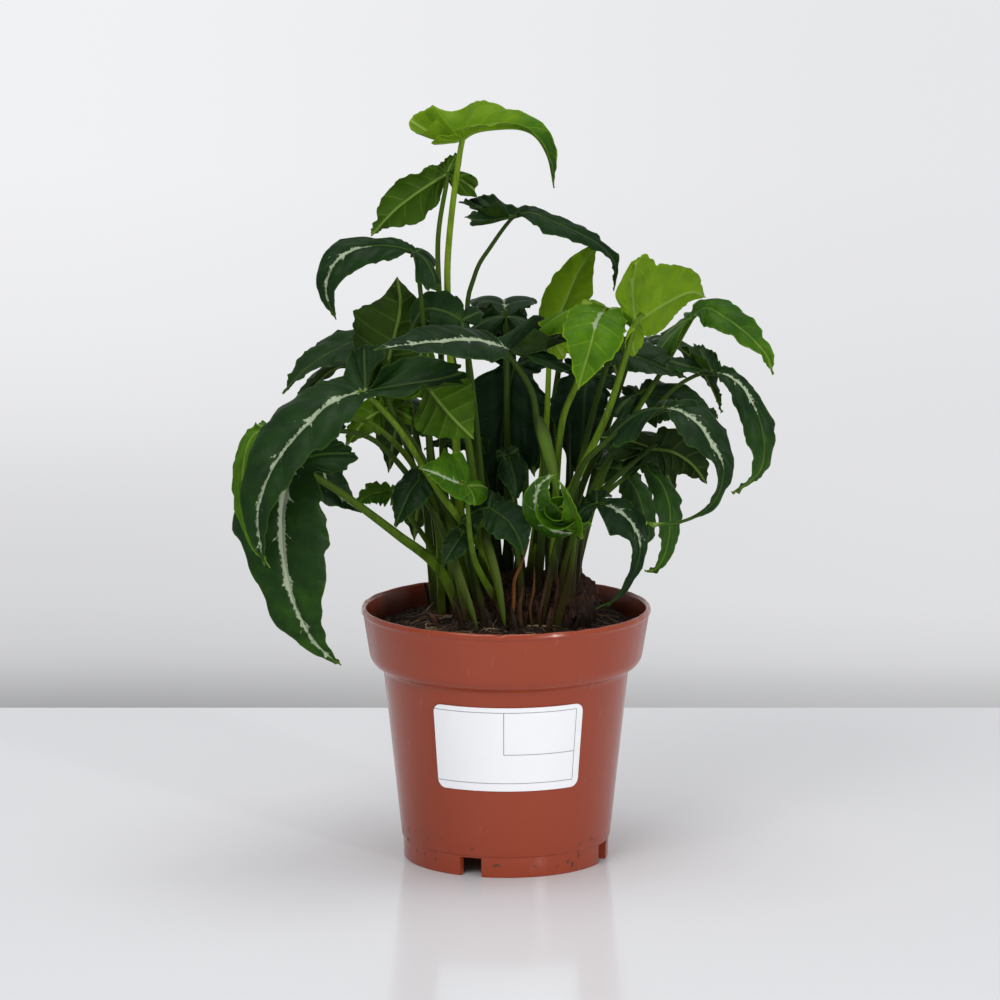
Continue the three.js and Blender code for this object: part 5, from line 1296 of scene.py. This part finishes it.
STEM_SHADE_HEIGHT = (0.132, 0.108)  # in metres, where the painted shade on the stalks ends and where it is full
STEM_SHADE_RISE = 0.4  # how much higher it reaches for each metre to the right
# The glow colour also serves as the painted highlight along each blade's margin.
GLOWS = {  # the light that comes through the blade, and its share
    "leaf_lime": ((0.36, 0.56, 0.012), 0.30),
    "leaf_green": ((0.16, 0.34, 0.010), 0.20),
    "leaf_dark": ((0.05, 0.12, 0.010), 0.10),
}


def leaf_finish(name, glow, glow_share):
    """A leaf's skin, for its blade and its stalk, by the marks that its vertices carry."""
    material, finish = new_finish(name)
    age, below, silver, rib, vein, margin, stalk, run = (finish.attribute(key) for key in MARKS)
    patches = finish.clouds(0.007, 3)
    cells = finish.clouds(0.0011, 3)
    ragged = finish.clouds(0.0016, 4)
    streaks = finish.clouds(0.0016, 3, stretch=(1, 1, 0.12))
    old = age + 0.45 * (patches - 0.5)
    veined = vein.eased(0.55, 0.1) * rib.eased(0.5, 1.5)
    midrib = rib.eased(0.75, 0.25)
    faint = 1 - 0.8 * age
    band = (silver + 3.0 * (ragged - 0.5) + 1.4 * (patches - 0.5)).eased(0.4, -0.35)

    top = finish.ramp(old, UPPER)
    top = finish.mix(veined * faint * 0.3, top, glow)
    top = finish.mix(cells.eased(0.35, 0.75) * 0.25, top, finish.ramp(old, UPPER_CELLS))
    # Painted highlight: the margin is lightened towards the glow colour, standing in for light along the
    # leaf's edges.
    top = finish.mix(margin.eased(0.9, 0.1) * 0.4, top, glow)
    top = finish.mix(midrib * faint * 0.85, top, finish.ramp(age, UPPER_RIB))
    top = finish.mix(band * 0.9, top, SILVER)

    back = finish.ramp(old, UNDER)
    back = finish.mix(cells.eased(0.4, 0.8) * 0.2, back, UNDER_CELLS)
    back = finish.mix(veined * faint * 0.5, back, UNDER_VEINS)
    back = finish.mix(midrib * (1 - 0.6 * age) * 0.9, back, UNDER_RIB)

    sideways, height = finish.split(finish.place(), "XZ")
    # Painted shade: the stalks darken to brown towards the soil, reaching higher at the right, standing in
    # for the shade low in the clump.
    stalk_foot_shade = (height - STEM_SHADE_RISE * sideways + 0.016 * (patches - 0.5)).eased(*STEM_SHADE_HEIGHT)
    stem = finish.ramp(age, STEM)
    stem = finish.mix(run.eased(0.40, 0.10) * patches.eased(0.35, 0.65) * 0.4, stem, STEM_SHEATH)
    stem = finish.mix(stalk_foot_shade * 0.9, stem, STEM_FOOT_SHADE)
    stem = finish.mix(streaks.eased(0.45, 0.7) * 0.4, stem, STEM_STREAKS)

    leather = finish.coat(
        finish.mix(stalk, finish.mix(below, top, back), stem),
        0.40 + 0.10 * patches + 0.12 * below + 0.12 * band, 0.11,
        relief=cells * 0.6 + 0.5 * veined, depth=0.00022)
    through = finish.node("ShaderNodeBsdfTranslucent", sockets={"Color": (*glow, 1)})
    share = glow_share * (1 - stalk)
    finish.surface(finish.node("ShaderNodeMixShader", sockets={0: share, 1: leather, 2: through}))
    return material


leaf_skins = {slot: leaf_finish(slot, *glow) for slot, glow in GLOWS.items()}

for seed, (name, given) in enumerate(LEAVES.items()):
    look = {**LEAF_DEFAULTS, **given}
    for key in SIDED:
        if not isinstance(look[key], tuple):
            look[key] = (look[key], look[key])
    blade = Blade(look, seed)
    bm = bmesh.new()
    shape_blade(bm, blade)
    shape_stalk(bm, blade)
    finished(f"blade_{name}", bm, leaf_skins[look["slot"]], look["slot"], f"leaf_{name}")


# Rolled heart: the innermost stretch of the leaf that is still unrolling, wound up like a scroll.
# It is young green blade, a third of a millimetre thick, with its free edge towards the front.
SCROLL_MIDDLE = Vector((21.8, -47, 153.5))
SCROLL_AXIS = Vector((-0.25, -0.92, 0.30)).normalized()
SCROLL_START = 0.62  # turns
SCROLL_TURNS = 1.9
SCROLL_INNER, SCROLL_OUTER = 1.4, 8.2  # radii of its two ends
SCROLL_NARROW, SCROLL_FLARE = 0.72, 0.38  # their share at the back, and how much more in front
SCROLL_OVAL = 1.15
SCROLL_DEPTH = 8
SCROLL_SINK = 2.2  # how far the inner end lies behind the outer one
SCROLL_RUFFLE, SCROLL_FRILL = 0.9, 1.3  # how far the front edge waves outwards, and along the axis
SCROLL_THICKNESS = 0.35
SCROLL_SKIN = dict(age=0.42, silver=NO_SILVER, rib=4, vein=4)

bm = bmesh.new()
layers = {key: bm.verts.layers.float.new(key) for key in MARKS}
bmesh.ops.create_grid(bm, x_segments=110, y_segments=12, size=0.5)
first = Vector((1, 0, 0)).cross(SCROLL_AXIS).normalized()
second = SCROLL_AXIS.cross(first)
for vertex in bm.verts:
    share, front = vertex.co.x + 0.5, vertex.co.y + 0.5
    turn = math.tau * (SCROLL_START + SCROLL_TURNS * share)
    rough = front * noise.noise(Vector((share * 9, front * 1.5, 3)))
    radius = SCROLL_INNER + (SCROLL_OUTER - SCROLL_INNER) * (1 - share) ** 0.85
    radius = radius * (SCROLL_NARROW + SCROLL_FLARE * front) + SCROLL_RUFFLE * rough
    out = first * math.cos(turn) + second * math.sin(turn) * SCROLL_OVAL
    forwards = SCROLL_DEPTH * (front - 0.5) * min(1, 0.35 + 3 * share)
    forwards += SCROLL_FRILL * rough - SCROLL_SINK * share
    vertex.co = SCROLL_MIDDLE + out * radius + SCROLL_AXIS * forwards
    for key, value in SCROLL_SKIN.items():
        vertex[layers[key]] = value
    vertex[layers["margin"]] = SCROLL_DEPTH * (1 - front)
bmesh.ops.solidify(bm, geom=bm.faces[:], thickness=SCROLL_THICKNESS)
finished("rolled_heart", bm, leaf_skins["leaf_green"], "leaf_green")
